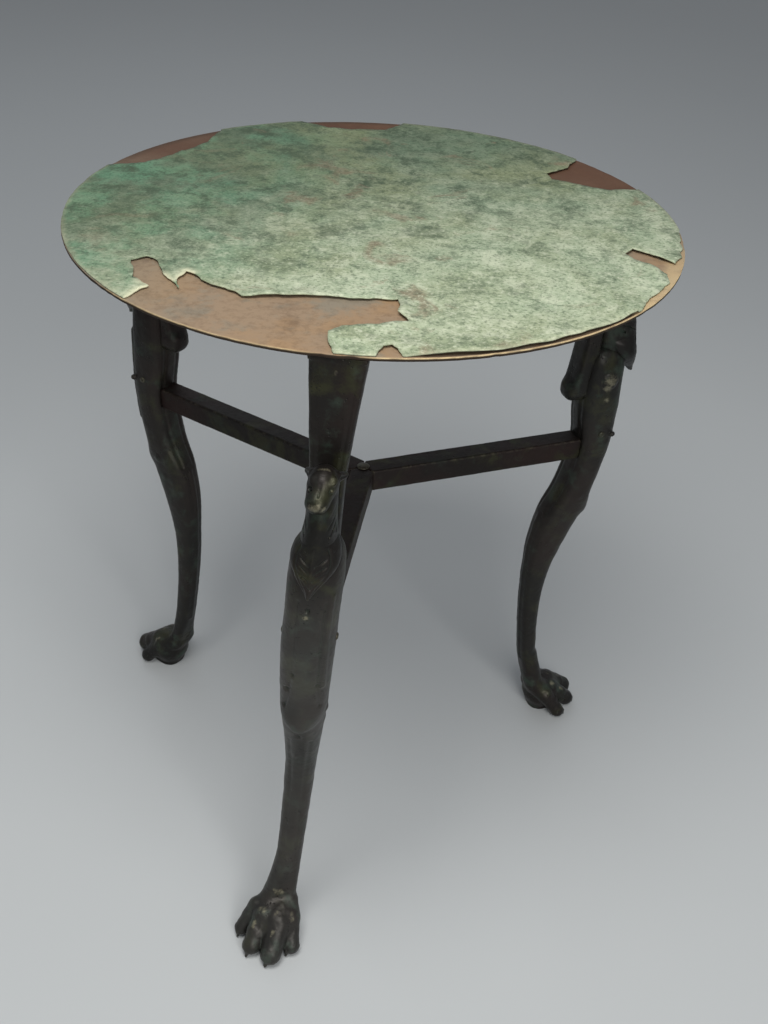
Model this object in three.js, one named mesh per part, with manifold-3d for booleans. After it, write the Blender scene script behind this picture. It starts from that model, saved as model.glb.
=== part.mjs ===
// Three-legged bronze table: a torn bronze sheet on a backing disc, carried by three cast legs
// with animal heads and lion's paws, held apart by a Y-shaped stretcher.
// Millimetres and degrees, +Z up, standing on Z = 0.
import * as THREE from 'three';
import { mergeVertices } from 'three/addons/utils/BufferGeometryUtils.js';
import Module from 'manifold-3d';

const wasm = await Module();
wasm.setup();

// Clearance between two pieces that seat on each other, or of a pin in its hole
const FIT_GAP = 0.3;

// Round top
const TOP_UNDERSIDE = 589;
const TOP_RADIUS = 250;
const BOARD_THICKNESS = 3.4;
const SHEET_THICKNESS = 1.2;

// Losses of the sheet along its rim, in order round the table.
// Each point is an angle round the axis and a depth inwards from the rim.
const SHEET_LOSSES = [
  {
    place: 'front left',
    outline: [
      [-125.5, 0], [-126.5, 24], [-131.5, 24], [-136, 33], [-139, 37], [-139, 50],
      [-136, 54], [-131, 46], [-126.5, 43], [-122, 38], [-125, 47], [-128, 61],
      [-124, 62], [-119, 58], [-115, 61], [-110, 57], [-104, 71], [-93, 83],
      [-82, 87], [-75, 87], [-75.5, 65], [-74, 50], [-80, 43], [-87, 37],
      [-89, 28], [-88.5, 14], [-87, 0],
    ],
  },
  {
    place: 'front notch',
    outline: [[-80.5, 0], [-79.5, 13], [-78, 15], [-77, 10], [-76.5, 0]],
  },
  {
    place: 'right wedge',
    outline: [[-17.5, 0], [-14, 9], [-12, 24], [-9.5, 42], [-8, 45], [-6.5, 32], [-8, 14], [-6, 0]],
  },
  {
    place: 'back right',
    outline: [[31, 0], [30.5, 30], [38, 51], [43, 63], [47, 56], [47.5, 28], [51, 0]],
  },
  {
    place: 'back',
    outline: [[93, 0], [97, 28], [105, 34], [111, 29], [116, 0]],
  },
  {
    place: 'back left',
    outline: [[135, 0], [143, 27], [151, 33], [160, 31], [165, 20], [168, 0]],
  },
];
const RIM_STEP = 4;

// Legs: direction of each from the axis, how far it stands in towards the axis, the sideways lean
// of its casting about the stretcher's joint, that of its bracket, and how far its paw turns
const LEGS = [
  { name: 'front', azimuth: -89.65, inset: 0, lean: -4, bracketLean: -3.2, pawTurn: -7 },
  { name: 'right', azimuth: 29.3, inset: 22, lean: 1.3, bracketLean: 1.3, pawTurn: 0 },
  { name: 'left', azimuth: 154, inset: 0, lean: 1.4, bracketLean: 1.4, pawTurn: -2 },
];

// Leg casting and wrist of the paw
const LEG_HEIGHT = 452;
const LEG_REACH = 256;
const LEG_WIDTH = 41;
const ANKLE_HEIGHT = 48;
// From the floor up: height as a share of LEG_HEIGHT, reach of the middle from the table's axis as
// a share of LEG_REACH, depth along the reach and width across it as shares of LEG_WIDTH
const LEG_PROFILE = [
  { up: 0, reach: 0.9844, depth: 0.8049, width: 0.7317 },
  { up: 0.031, reach: 0.9648, depth: 0.6829, width: 0.7317 },
  { up: 0.0752, reach: 0.9219, depth: 0.4146, width: 0.561 },
  { up: 0.1527, reach: 0.8809, depth: 0.4024, width: 0.5366 },
  { up: 0.2345, reach: 0.8613, depth: 0.439, width: 0.5512 },
  { up: 0.3451, reach: 0.8477, depth: 0.4927, width: 0.6049 },
  { up: 0.4292, reach: 0.8535, depth: 0.6244, width: 0.6341 },
  { up: 0.5111, reach: 0.877, depth: 0.8537, width: 0.7561 },
  { up: 0.5885, reach: 0.918, depth: 0.9878, width: 0.8537 },
  { up: 0.6571, reach: 0.9629, depth: 0.8171, width: 0.9317 },
  { up: 0.7611, reach: 1.002, depth: 0.7927, width: 1 },
  { up: 0.8429, reach: 1, depth: 0.9756, width: 0.9951 },
  { up: 0.9292, reach: 0.998, depth: 0.9634, width: 1 },
  { up: 0.969, reach: 1, depth: 0.9024, width: 0.9268 },
  { up: 0.9912, reach: 1, depth: 0.6829, width: 0.6829 },
  { up: 1, reach: 1, depth: 0.2683, width: 0.2927 },
];
const LEG_ROUNDNESS = 2.8;
const LEG_STEPS = 22;
const LEG_SIDES = 16;

// Paw: toes fan out from the wrist, measured from the middle of the ankle's section
const TOES = [
  { side: -22.5, length: 32, radius: 9 },
  { side: -10, length: 45, radius: 9.6 },
  { side: 6, length: 48, radius: 9.6 },
  { side: 19, length: 37, radius: 9 },
];
const TOE_NARROWING = 0.84;
const TOE_SPLAY = 0.86;
const KNUCKLE_SHARE = 0.68;
const KNUCKLE_HEIGHT = 27;
const PAD_OUT = 20;
const PAD_HEIGHT = 21;
const PAD_HALF_LENGTH = 22;
const PAD_HALF_WIDTH = 21;
const PAD_HALF_HEIGHT = 22;
const CLAW_LENGTH = 6;
const CLAW_DROP = 4;
const CLAW_RADIUS = 2.6;
const CLAW_TIP_RADIUS = 0.8;
const DEWCLAW_RADII = { x: 7.5, y: 5, z: 6 };
const DEWCLAW_HEIGHT = 27;
const WRIST_STEPS = 5;

// Bracket behind the head: flange under the disc, tapering upright, lobe at its lower end
const BRACKET_REACH = LEG_REACH - 18;
const BRACKET_DEPTH = 16;
const BRACKET_TOP_WIDTH = 41.5;
const BRACKET_NECK_WIDTH = 26;
const BRACKET_NECK_HEIGHT = LEG_HEIGHT + 42;
const BRACKET_FOOT_HEIGHT = LEG_HEIGHT - 59;
const BRACKET_ROUNDNESS = 5;
const LOBE_RADIUS = 9;
const LOBE_OUT = 8;
// Lobe and what stands over it: height above the foot and depth in lobe radii, share of LOBE_OUT
const LOBE_PROFILE = [
  { up: 0, out: 0.3, depth: 1 },
  { up: 0.35, out: 0.8, depth: 2 },
  { up: 1, out: 1 },
  { up: 2, out: 0.85 },
  { up: 4, out: 0.4 },
  { up: 7, out: 0 },
];
const FLANGE_THICKNESS = 4;
const FLANGE_DEPTH = 50;
const FLANGE_WIDTH = 41;
const FLANGE_REACH = BRACKET_REACH - 17;
const FLARE_HEIGHT = 16;

// Head and neck
const NECK_HEIGHT = LEG_HEIGHT + 40;
const NECK_DEPTH = 36;
const NECK_WIDTH = 20;
const CROWN_HEIGHT = NECK_HEIGHT + 23;
const HEAD_REACH = LEG_REACH + 10;
const HEAD_LENGTH = 28;
const SNOUT_REACH = HEAD_REACH + 22;
const SNOUT_HEIGHT = NECK_HEIGHT - 5;
const SNOUT_RADIUS = 5;
const MUZZLE_RADIUS = 8.4;
const EAR_RADIUS = 4;
const EAR_TIP_RADIUS = 1.4;
const EAR_SIDE = 7;
const EAR_SPREAD = 2.4;
const EAR_BACK = 8.4;
const EAR_RISE = 2;
// Neck: share of the way from the shoulder up to NECK_HEIGHT, setback, shares of depth and width
const NECK_PROFILE = [
  { up: -0.3, back: 0, depth: 1.1, width: 1.5 },
  { up: 0.1, back: 0, depth: 1.12, width: 1.35 },
  { up: 0.5, back: 1, depth: 1.05, width: 1.1 },
  { up: 0.85, back: 2.5, depth: 0.9, width: 1 },
  { up: 1.2, back: 5, depth: 0.62, width: 0.92 },
];

// Calyx leaf that hangs over the thigh in front
const LEAF_TOP = LEG_HEIGHT + 12;
const LEAF_TIP = LEG_HEIGHT - 37;
const LEAF_REACH = LEG_REACH + 31;
const LEAF_WIDTH = 36;
const LEAF_DEPTH = 34;
// Share of the way up from tip to top, setback, shares of depth and width
const LEAF_PROFILE = [
  { up: 0, back: 0, depth: 0.09, width: 0.08 },
  { up: 0.14, back: 0.5, depth: 0.26, width: 0.32 },
  { up: 0.34, back: 1, depth: 0.56, width: 0.72 },
  { up: 0.56, back: 2, depth: 0.84, width: 1 },
  { up: 0.76, back: 3, depth: 0.95, width: 0.94 },
  { up: 0.9, back: 3, depth: 1, width: 0.72 },
  { up: 1, back: 4, depth: 0.7, width: 0.46 },
];
const SOFT_ROUNDNESS = 2.2;

// Stretcher, its joints through the legs, and the rivet at the hub
const JOINT_HEIGHT = 342;
const ARM_WIDTH = 21;
const ARM_HEIGHT = 21;
const TANG_WIDTH = 11;
const TANG_DEPTH = 14;
const TANG_DROP = 6;
const PIN_HEIGHT = JOINT_HEIGHT + 20;
const PIN_COVER = 7;
const CROSS_PIN_RADIUS = 3;
const CROSS_PIN_PROUD = 1.5;
const HUB_RIVET_RADIUS = 3;
const HUB_HEAD_RADIUS = 6;
const HUB_HEAD_HEIGHT = 2;

// Rivets of the bracket's flange
const RIVET_RADIUS = 2;
const RIVET_HEAD_RADIUS = 4;
const RIVET_HEAD_HEIGHT = 2;
const RIVET_INSET = 7;
const RIVET_SPREAD = 26;
const DOME_SHARE = 0.65;
const DOME_HEIGHT = 0.8;
const ROUND_SIDES = 12;
const ROUND_END = 0.6;

const bronze = () => new THREE.MeshStandardMaterial({ color: 0x2e2b25, roughness: 0.45, metalness: 0.8 });
const patina = () => new THREE.MeshStandardMaterial({ color: 0x7d967a, roughness: 0.8, metalness: 0.2 });
const paint = () => new THREE.MeshStandardMaterial({ color: 0x8a7358, roughness: 0.7, metalness: 0.1 });

const radians = THREE.MathUtils.degToRad;
const sheetBottom = TOP_UNDERSIDE + BOARD_THICKNESS + FIT_GAP;

// A solid from a closed geometry, ready to be joined or cut
function solid(geometry) {
  const bare = geometry.clone();
  for (const name of Object.keys(bare.attributes)) {
    if (name !== 'position') bare.deleteAttribute(name);
  }
  const merged = mergeVertices(bare, 1e-4);
  return new wasm.Manifold(new wasm.Mesh({
    numProp: 3,
    vertProperties: new Float32Array(merged.attributes.position.array),
    triVerts: new Uint32Array(merged.index.array),
  }));
}

// The geometry of a finished solid
function geometryOf(body) {
  const mesh = body.getMesh();
  const geometry = new THREE.BufferGeometry();
  geometry.setAttribute('position', new THREE.BufferAttribute(mesh.vertProperties, 3));
  geometry.setIndex(new THREE.BufferAttribute(mesh.triVerts, 1));
  geometry.computeVertexNormals();
  return geometry;
}

const joined = (bodies) => bodies.reduce((sum, body) => sum.add(body));
const cut = (body, cutters) => cutters.reduce((rest, cutter) => rest.subtract(cutter), body);

// A rounded section: half axes a along u and b along v, fuller than an ellipse when power is over 2
function ring(centre, u, v, a, b, power, sides) {
  const points = [];
  for (let side = 0; side < sides; side += 1) {
    const angle = (2 * Math.PI * side) / sides;
    const along = Math.sign(Math.cos(angle)) * Math.abs(Math.cos(angle)) ** (2 / power) * a;
    const across = Math.sign(Math.sin(angle)) * Math.abs(Math.sin(angle)) ** (2 / power) * b;
    points.push(centre.clone().addScaledVector(u, along).addScaledVector(v, across));
  }
  return points;
}

// A closed skin over rings that run anticlockwise about the way from the first to the last
function loft(rings) {
  const sides = rings[0].length;
  const positions = [];
  const faces = [];
  for (const points of rings) points.forEach((point) => positions.push(...point.toArray()));
  for (let level = 0; level + 1 < rings.length; level += 1) {
    for (let side = 0; side < sides; side += 1) {
      const low = level * sides + side;
      const lowNext = level * sides + ((side + 1) % sides);
      faces.push(low, lowNext, lowNext + sides, low, lowNext + sides, low + sides);
    }
  }
  const ends = [rings[0], rings[rings.length - 1]];
  ends.forEach((points, end) => {
    const middle = points.reduce((sum, point) => sum.add(point), new THREE.Vector3()).divideScalar(sides);
    const hub = positions.length / 3;
    positions.push(...middle.toArray());
    const first = end * (rings.length - 1) * sides;
    for (let side = 0; side < sides; side += 1) {
      const next = first + ((side + 1) % sides);
      if (end === 0) faces.push(hub, next, first + side);
      else faces.push(hub, first + side, next);
    }
  });
  const geometry = new THREE.BufferGeometry();
  geometry.setAttribute('position', new THREE.Float32BufferAttribute(positions, 3));
  geometry.setIndex(faces);
  return geometry;
}

const OUTWARD = new THREE.Vector3(1, 0, 0);
const SIDEWAYS = new THREE.Vector3(0, 1, 0);

// A loft through level sections, each with its height, reach, depth and width
function levelLoft(sections, power, sides, grow = 0) {
  return loft(sections.map((section) => ring(
    new THREE.Vector3(section.reach, section.side ?? 0, section.height),
    OUTWARD,
    SIDEWAYS,
    section.depth / 2 + grow,
    section.width / 2 + grow,
    power,
    sides,
  )));
}

// The leg's section at any height, smooth between the sections that are given
const legCurves = {};
for (const [size, whole] of [['reach', LEG_REACH], ['depth', LEG_WIDTH], ['width', LEG_WIDTH]]) {
  legCurves[size] = new THREE.CatmullRomCurve3(
    LEG_PROFILE.map((section) => new THREE.Vector3(section.up * LEG_HEIGHT, section[size] * whole, 0)),
    false,
    'centripetal',
  );
}

function curveValue(curve, height) {
  let low = 0;
  let high = 1;
  for (let step = 0; step < 40; step += 1) {
    const middle = (low + high) / 2;
    if (curve.getPoint(middle).x < height) low = middle;
    else high = middle;
  }
  return curve.getPoint((low + high) / 2).y;
}

function legSection(height) {
  const section = { height };
  for (const [size, curve] of Object.entries(legCurves)) section[size] = curveValue(curve, height);
  return section;
}

function legLevels(from, to, steps) {
  const levels = [];
  for (let step = 0; step <= steps; step += 1) {
    levels.push(legSection(from + ((to - from) * step) / steps));
  }
  return levels;
}

function ellipsoid(radii, centre, sides = ROUND_SIDES) {
  const geometry = new THREE.SphereGeometry(1, sides, Math.round(sides / 2) + 2);
  geometry.rotateX(Math.PI / 2);
  geometry.scale(radii.x, radii.y, radii.z);
  geometry.translate(centre.x, centre.y, centre.z);
  return geometry;
}

// A round bar that narrows from one point to another, with rounded ends
function taper(from, to, radiusFrom, radiusTo) {
  const way = to.clone().sub(from).normalize();
  const u = new THREE.Vector3().crossVectors(SIDEWAYS, way).normalize();
  const v = new THREE.Vector3().crossVectors(way, u);
  const ends = [
    { centre: from.clone().addScaledVector(way, -radiusFrom * ROUND_END), radius: radiusFrom * ROUND_END },
    { centre: from, radius: radiusFrom },
    { centre: to, radius: radiusTo },
    { centre: to.clone().addScaledVector(way, radiusTo * ROUND_END), radius: radiusTo * ROUND_END },
  ];
  return loft(ends.map((end) => ring(end.centre, u, v, end.radius, end.radius, 2, ROUND_SIDES)));
}

function post(radius, bottom, top, x = 0, y = 0, sides = ROUND_SIDES) {
  const geometry = new THREE.CylinderGeometry(radius, radius, top - bottom, sides);
  geometry.rotateX(Math.PI / 2);
  geometry.translate(x, y, (bottom + top) / 2);
  return geometry;
}

// Sideways place that a lean gives at a height
const leanShift = (lean, height) => Math.tan(radians(lean)) * (JOINT_HEIGHT - height);

function leaning(lean, geometry) {
  const slope = -Math.tan(radians(lean));
  const shear = new THREE.Matrix4().set(
    1, 0, 0, 0,
    0, 1, slope, -slope * JOINT_HEIGHT,
    0, 0, 1, 0,
    0, 0, 0, 1,
  );
  return geometry.clone().applyMatrix4(shear);
}

// Half the angle from one leg's direction round to the next, anticlockwise
const halfAngle = (from, to) => ((((to.azimuth - from.azimuth) % 360) + 360) % 360) / 2;

// The end of a stretcher arm inside the thigh: it turns up into a tang that the cross pin passes
function tang(grow = 0) {
  const thigh = legSection(JOINT_HEIGHT);
  const bottom = JOINT_HEIGHT - TANG_DROP - grow;
  const top = PIN_HEIGHT + PIN_COVER + grow;
  const upright = new THREE.BoxGeometry(TANG_DEPTH + 2 * grow, TANG_WIDTH + 2 * grow, top - bottom);
  upright.translate(thigh.reach, 0, (top + bottom) / 2);
  const start = thigh.reach - thigh.depth / 2 - ARM_WIDTH;
  const neck = new THREE.BoxGeometry(thigh.reach - start, TANG_WIDTH + 2 * grow, 2 * (TANG_DROP + grow));
  neck.translate((thigh.reach + start) / 2, 0, JOINT_HEIGHT);
  return solid(upright).add(solid(neck));
}

function crossPin(leg, radius, proud) {
  const thigh = legSection(PIN_HEIGHT);
  const pin = new THREE.CylinderGeometry(radius, radius, thigh.width + 2 * proud, ROUND_SIDES);
  pin.translate(legSection(JOINT_HEIGHT).reach, leanShift(leg.lean, PIN_HEIGHT), PIN_HEIGHT);
  return pin;
}

const pinHole = (leg) => solid(crossPin(leg, CROSS_PIN_RADIUS + FIT_GAP, ARM_WIDTH));

// Stretcher arm: its plan runs from the mitre at the hub to the thigh, whose skin it is cut to fit
function stretcherArm(leg, next, previous) {
  const half = ARM_WIDTH / 2;
  const far = legSection(JOINT_HEIGHT).reach - leg.inset;
  const plan = new THREE.Shape();
  plan.moveTo(far, -half);
  plan.lineTo(far, half);
  plan.lineTo(half / Math.tan(radians(halfAngle(leg, next))) + FIT_GAP, half);
  plan.lineTo(FIT_GAP, 0);
  plan.lineTo(half / Math.tan(radians(halfAngle(previous, leg))) + FIT_GAP, -half);
  plan.closePath();
  const bar = new THREE.ExtrudeGeometry(plan, { depth: ARM_HEIGHT, bevelEnabled: false });
  bar.translate(0, 0, JOINT_HEIGHT - ARM_HEIGHT / 2);
  const fitted = solid(bar).subtract(legBody(leg, FIT_GAP).translate([-leg.inset, 0, 0]));
  const rivetHole = solid(post(
    HUB_RIVET_RADIUS + FIT_GAP,
    JOINT_HEIGHT - ARM_HEIGHT,
    JOINT_HEIGHT + ARM_HEIGHT,
  ));
  const pinned = tang().subtract(pinHole(leg));
  return fitted.subtract(rivetHole).add(pinned.translate([-leg.inset, 0, 0]));
}

// Leg casting, from the ankle to the shoulder
function legBody(leg, grow = 0) {
  const levels = legLevels(ANKLE_HEIGHT, LEG_HEIGHT, LEG_STEPS);
  if (grow > 0) levels.push({ ...levels[levels.length - 1], height: LEG_HEIGHT + grow });
  return solid(leaning(leg.lean, levelLoft(levels, LEG_ROUNDNESS, LEG_SIDES, grow)));
}

function legCasting(leg) {
  return cut(legBody(leg), [tang(FIT_GAP), pinHole(leg)]);
}

// Paw: the wrist goes on from the casting's section, toes and claws grow out of it
function toeBodies(toe) {
  const knuckle = new THREE.Vector3(toe.length * KNUCKLE_SHARE, toe.side * TOE_SPLAY, KNUCKLE_HEIGHT);
  const tipRadius = toe.radius * TOE_NARROWING;
  const tip = new THREE.Vector3(toe.length + tipRadius * ROUND_END, toe.side, tipRadius);
  const clawEnd = tip.clone().add(new THREE.Vector3(CLAW_LENGTH, 0, -CLAW_DROP));
  return [
    solid(taper(knuckle, tip, toe.radius, tipRadius)),
    solid(taper(tip, clawEnd, CLAW_RADIUS, CLAW_TIP_RADIUS)),
  ];
}

function paw(leg) {
  const ankle = legSection(ANKLE_HEIGHT);
  const wrist = levelLoft(legLevels(0, ANKLE_HEIGHT - FIT_GAP, WRIST_STEPS), LEG_ROUNDNESS, LEG_SIDES);
  const pad = ellipsoid(
    new THREE.Vector3(PAD_HALF_LENGTH, PAD_HALF_WIDTH, PAD_HALF_HEIGHT),
    new THREE.Vector3(PAD_OUT, 0, PAD_HEIGHT),
    LEG_SIDES,
  );
  const dewclaw = ellipsoid(
    DEWCLAW_RADII,
    new THREE.Vector3(ankle.depth / 2, -ankle.width / 2, DEWCLAW_HEIGHT),
  );
  const foot = joined([solid(pad), solid(dewclaw), ...TOES.flatMap(toeBodies)])
    .rotate([0, 0, leg.pawTurn])
    .translate([ankle.reach, 0, 0]);
  const room = new THREE.BoxGeometry(TOP_RADIUS, TOP_RADIUS, ANKLE_HEIGHT - FIT_GAP);
  room.translate(ankle.reach, 0, (ANKLE_HEIGHT - FIT_GAP) / 2);
  const trimmed = solid(wrist).add(foot).intersect(solid(room));
  return solid(leaning(leg.lean, geometryOf(trimmed)));
}

// Bracket: upright with its lobe, and the flange that the disc rests on
function bracketWidth(height) {
  const taperSpan = TOP_UNDERSIDE - BRACKET_NECK_HEIGHT;
  const share = Math.max(0, (height - BRACKET_NECK_HEIGHT) / taperSpan);
  return BRACKET_NECK_WIDTH + (BRACKET_TOP_WIDTH - BRACKET_NECK_WIDTH) * share;
}

function bracketBody(leg, grow = 0) {
  const flangeTop = TOP_UNDERSIDE - FIT_GAP;
  const outside = BRACKET_REACH + BRACKET_DEPTH / 2;
  const lobe = LOBE_PROFILE.map(({ up, out, depth }) => ({
    height: BRACKET_FOOT_HEIGHT + LOBE_RADIUS * up - (up === 0 ? grow : 0),
    out: LOBE_OUT * out,
    depth: depth ? LOBE_RADIUS * depth : BRACKET_DEPTH + LOBE_OUT * out,
  }));
  const flareDepth = BRACKET_DEPTH + FLANGE_THICKNESS;
  const sections = [
    ...lobe,
    { height: BRACKET_NECK_HEIGHT, out: 0, depth: BRACKET_DEPTH },
    { height: flangeTop - FLARE_HEIGHT, out: 0, depth: BRACKET_DEPTH },
    { height: flangeTop - FLANGE_THICKNESS / 2, out: FLANGE_THICKNESS, depth: flareDepth },
  ].map(({ height, out, depth }) => ({
    height,
    depth,
    reach: outside - BRACKET_DEPTH - out + depth / 2,
    width: bracketWidth(height),
  }));
  return solid(leaning(leg.bracketLean, levelLoft(sections, BRACKET_ROUNDNESS, LEG_SIDES, grow)));
}

function rivetPlaces(leg) {
  const reach = FLANGE_REACH - FLANGE_DEPTH / 2 + RIVET_INSET;
  const middle = leanShift(leg.bracketLean, TOP_UNDERSIDE);
  return [-1, 1].map((side) => ({ reach, side: middle + (side * RIVET_SPREAD) / 2 }));
}

function rivetHole(place) {
  const bottom = TOP_UNDERSIDE - FLARE_HEIGHT;
  return solid(post(RIVET_RADIUS + FIT_GAP, bottom, sheetBottom, place.reach, place.side));
}

function bracket(leg) {
  const flange = new THREE.BoxGeometry(FLANGE_DEPTH, FLANGE_WIDTH, FLANGE_THICKNESS);
  const flangeMiddle = TOP_UNDERSIDE - FIT_GAP - FLANGE_THICKNESS / 2;
  flange.translate(FLANGE_REACH, leanShift(leg.bracketLean, TOP_UNDERSIDE), flangeMiddle);
  const whole = bracketBody(leg).add(solid(flange));
  return cut(whole, [legBody(leg, FIT_GAP), ...rivetPlaces(leg).map(rivetHole)]);
}

function flangeRivet(place) {
  const flangeBottom = TOP_UNDERSIDE - FIT_GAP - FLANGE_THICKNESS;
  const head = flangeBottom - FIT_GAP;
  const boardTop = TOP_UNDERSIDE + BOARD_THICKNESS;
  const profile = [
    new THREE.Vector2(0, head - RIVET_HEAD_HEIGHT),
    new THREE.Vector2(RIVET_HEAD_RADIUS * DOME_SHARE, head - RIVET_HEAD_HEIGHT * DOME_HEIGHT),
    new THREE.Vector2(RIVET_HEAD_RADIUS, head),
    new THREE.Vector2(RIVET_RADIUS, head),
    new THREE.Vector2(RIVET_RADIUS, boardTop),
    new THREE.Vector2(0, boardTop),
  ];
  const rivet = new THREE.LatheGeometry(profile, ROUND_SIDES);
  rivet.rotateX(Math.PI / 2);
  rivet.translate(place.reach, place.side, 0);
  return rivet;
}

// Head and neck of a slim hound, looking outwards and down
function protomeBody(leg, grow = 0) {
  const neck = levelLoft(NECK_PROFILE.map(({ up, back, depth, width }) => ({
    height: LEG_HEIGHT + (NECK_HEIGHT - LEG_HEIGHT) * up,
    reach: HEAD_REACH - back,
    depth: NECK_DEPTH * depth,
    width: NECK_WIDTH * width,
  })), SOFT_ROUNDNESS, ROUND_SIDES, grow);
  const headHalf = (CROWN_HEIGHT - NECK_HEIGHT) / 2;
  const skull = ellipsoid(
    new THREE.Vector3(HEAD_LENGTH / 2 + grow, NECK_WIDTH / 2 + grow, headHalf + grow),
    new THREE.Vector3(HEAD_REACH, 0, NECK_HEIGHT + headHalf),
  );
  const brow = new THREE.Vector3(HEAD_REACH + SNOUT_RADIUS, 0, NECK_HEIGHT + headHalf);
  const snout = new THREE.Vector3(SNOUT_REACH - SNOUT_RADIUS, 0, SNOUT_HEIGHT + SNOUT_RADIUS);
  const muzzle = taper(brow, snout, MUZZLE_RADIUS + grow, SNOUT_RADIUS + grow);
  const ears = [-1, 1].map((side) => {
    const earHeight = CROWN_HEIGHT - MUZZLE_RADIUS;
    const root = new THREE.Vector3(HEAD_REACH - SNOUT_RADIUS, side * EAR_SIDE, earHeight);
    const turn = new THREE.Vector3(-EAR_BACK, side * EAR_SPREAD, EAR_RISE);
    const point = root.clone().add(turn);
    return taper(root, point, EAR_RADIUS, EAR_TIP_RADIUS);
  });
  return joined([neck, skull, muzzle, ...ears].map((piece) => solid(leaning(leg.lean, piece))));
}

function protome(leg) {
  return cut(protomeBody(leg), [legBody(leg, FIT_GAP), bracketBody(leg, FIT_GAP)]);
}

// Calyx leaf: a pointed shield that hangs from the neck over the front of the thigh
function leaf(leg) {
  const sections = LEAF_PROFILE.map(({ up, back, depth, width }) => ({
    height: LEAF_TIP + (LEAF_TOP - LEAF_TIP) * up,
    reach: LEAF_REACH - back - (LEAF_DEPTH * depth) / 2,
    depth: LEAF_DEPTH * depth,
    width: LEAF_WIDTH * width,
  }));
  const raw = solid(leaning(leg.lean, levelLoft(sections, SOFT_ROUNDNESS, LEG_SIDES)));
  return cut(raw, [legBody(leg, FIT_GAP), protomeBody(leg, FIT_GAP), bracketBody(leg, FIT_GAP)]);
}

// Hub rivet through the three mitred ends
function hubRivet() {
  const low = JOINT_HEIGHT - ARM_HEIGHT / 2 - FIT_GAP;
  const high = JOINT_HEIGHT + ARM_HEIGHT / 2 + FIT_GAP;
  const profile = [
    new THREE.Vector2(0, low - HUB_HEAD_HEIGHT),
    new THREE.Vector2(HUB_HEAD_RADIUS * DOME_SHARE, low - HUB_HEAD_HEIGHT * DOME_HEIGHT),
    new THREE.Vector2(HUB_HEAD_RADIUS, low),
    new THREE.Vector2(HUB_RIVET_RADIUS, low),
    new THREE.Vector2(HUB_RIVET_RADIUS, high),
    new THREE.Vector2(HUB_HEAD_RADIUS, high),
    new THREE.Vector2(HUB_HEAD_RADIUS * DOME_SHARE, high + HUB_HEAD_HEIGHT * DOME_HEIGHT),
    new THREE.Vector2(0, high + HUB_HEAD_HEIGHT),
  ];
  const rivet = new THREE.LatheGeometry(profile, ROUND_SIDES);
  rivet.rotateX(Math.PI / 2);
  return rivet;
}

// Outline of the sheet: the rim, interrupted by its losses
function rimPoint(angle, depth = 0) {
  const radius = TOP_RADIUS - depth;
  return new THREE.Vector2(radius * Math.cos(radians(angle)), radius * Math.sin(radians(angle)));
}

function sheetGeometry() {
  const points = [];
  SHEET_LOSSES.forEach((loss, index) => {
    loss.outline.forEach(([angle, depth]) => points.push(rimPoint(angle, depth)));
    const start = loss.outline[loss.outline.length - 1][0];
    const following = SHEET_LOSSES[(index + 1) % SHEET_LOSSES.length];
    const stop = following.outline[0][0] + (index + 1 === SHEET_LOSSES.length ? 360 : 0);
    const steps = Math.ceil((stop - start) / RIM_STEP);
    for (let step = 1; step < steps; step += 1) {
      points.push(rimPoint(start + ((stop - start) * step) / steps));
    }
  });
  const outline = new THREE.Shape(points);
  const sheet = new THREE.ExtrudeGeometry(outline, { depth: SHEET_THICKNESS, bevelEnabled: false });
  sheet.translate(0, 0, sheetBottom);
  return sheet;
}

function boardSolid() {
  const boardTop = TOP_UNDERSIDE + BOARD_THICKNESS;
  const disc = solid(post(TOP_RADIUS, TOP_UNDERSIDE, boardTop, 0, 0, 360 / RIM_STEP));
  const holes = LEGS.flatMap((leg) => rivetPlaces(leg).map((place) => {
    const hole = geometryOf(rivetHole(place));
    hole.translate(-leg.inset, 0, 0);
    hole.rotateZ(radians(leg.azimuth));
    return solid(hole);
  }));
  return cut(disc, holes);
}

// Assembly, turned so that the front leg points along -Y
const table = new THREE.Group();
table.name = 'bronze_table';

function add(parent, name, geometry, material) {
  const mesh = new THREE.Mesh(geometry, material);
  mesh.name = name;
  parent.add(mesh);
}

add(table, 'top_sheet', sheetGeometry(), patina());
add(table, 'backing_disc', geometryOf(boardSolid()), paint());
add(table, 'hub_rivet', hubRivet(), bronze());

LEGS.forEach((leg, index) => {
  const next = LEGS[(index + 1) % LEGS.length];
  const previous = LEGS[(index + LEGS.length - 1) % LEGS.length];
  const side = new THREE.Group();
  side.rotation.z = radians(leg.azimuth);
  table.add(side);
  add(side, `${leg.name}_stretcher_arm`, geometryOf(stretcherArm(leg, next, previous)), bronze());
  const stand = new THREE.Group();
  stand.position.x = -leg.inset;
  side.add(stand);
  add(stand, `${leg.name}_cross_pin`, crossPin(leg, CROSS_PIN_RADIUS, CROSS_PIN_PROUD), bronze());
  add(stand, `${leg.name}_leg_casting`, geometryOf(legCasting(leg)), bronze());
  add(stand, `${leg.name}_paw`, geometryOf(paw(leg)), bronze());
  add(stand, `${leg.name}_bracket`, geometryOf(bracket(leg)), bronze());
  add(stand, `${leg.name}_hound_head`, geometryOf(protome(leg)), bronze());
  add(stand, `${leg.name}_calyx_leaf`, geometryOf(leaf(leg)), bronze());
  rivetPlaces(leg).forEach((place, number) => {
    add(stand, `${leg.name}_flange_rivet_${number + 1}`, flangeRivet(place), bronze());
  });
});

// The origin lies on the floor, under the middle of the table's own box
const bounds = new THREE.Box3().setFromObject(table, true);
const middle = bounds.getCenter(new THREE.Vector3());
table.position.set(-middle.x, -middle.y, -bounds.min.z);

export default table;
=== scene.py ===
"""The look of a bronze table on three lion's-paw legs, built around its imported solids."""

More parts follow.
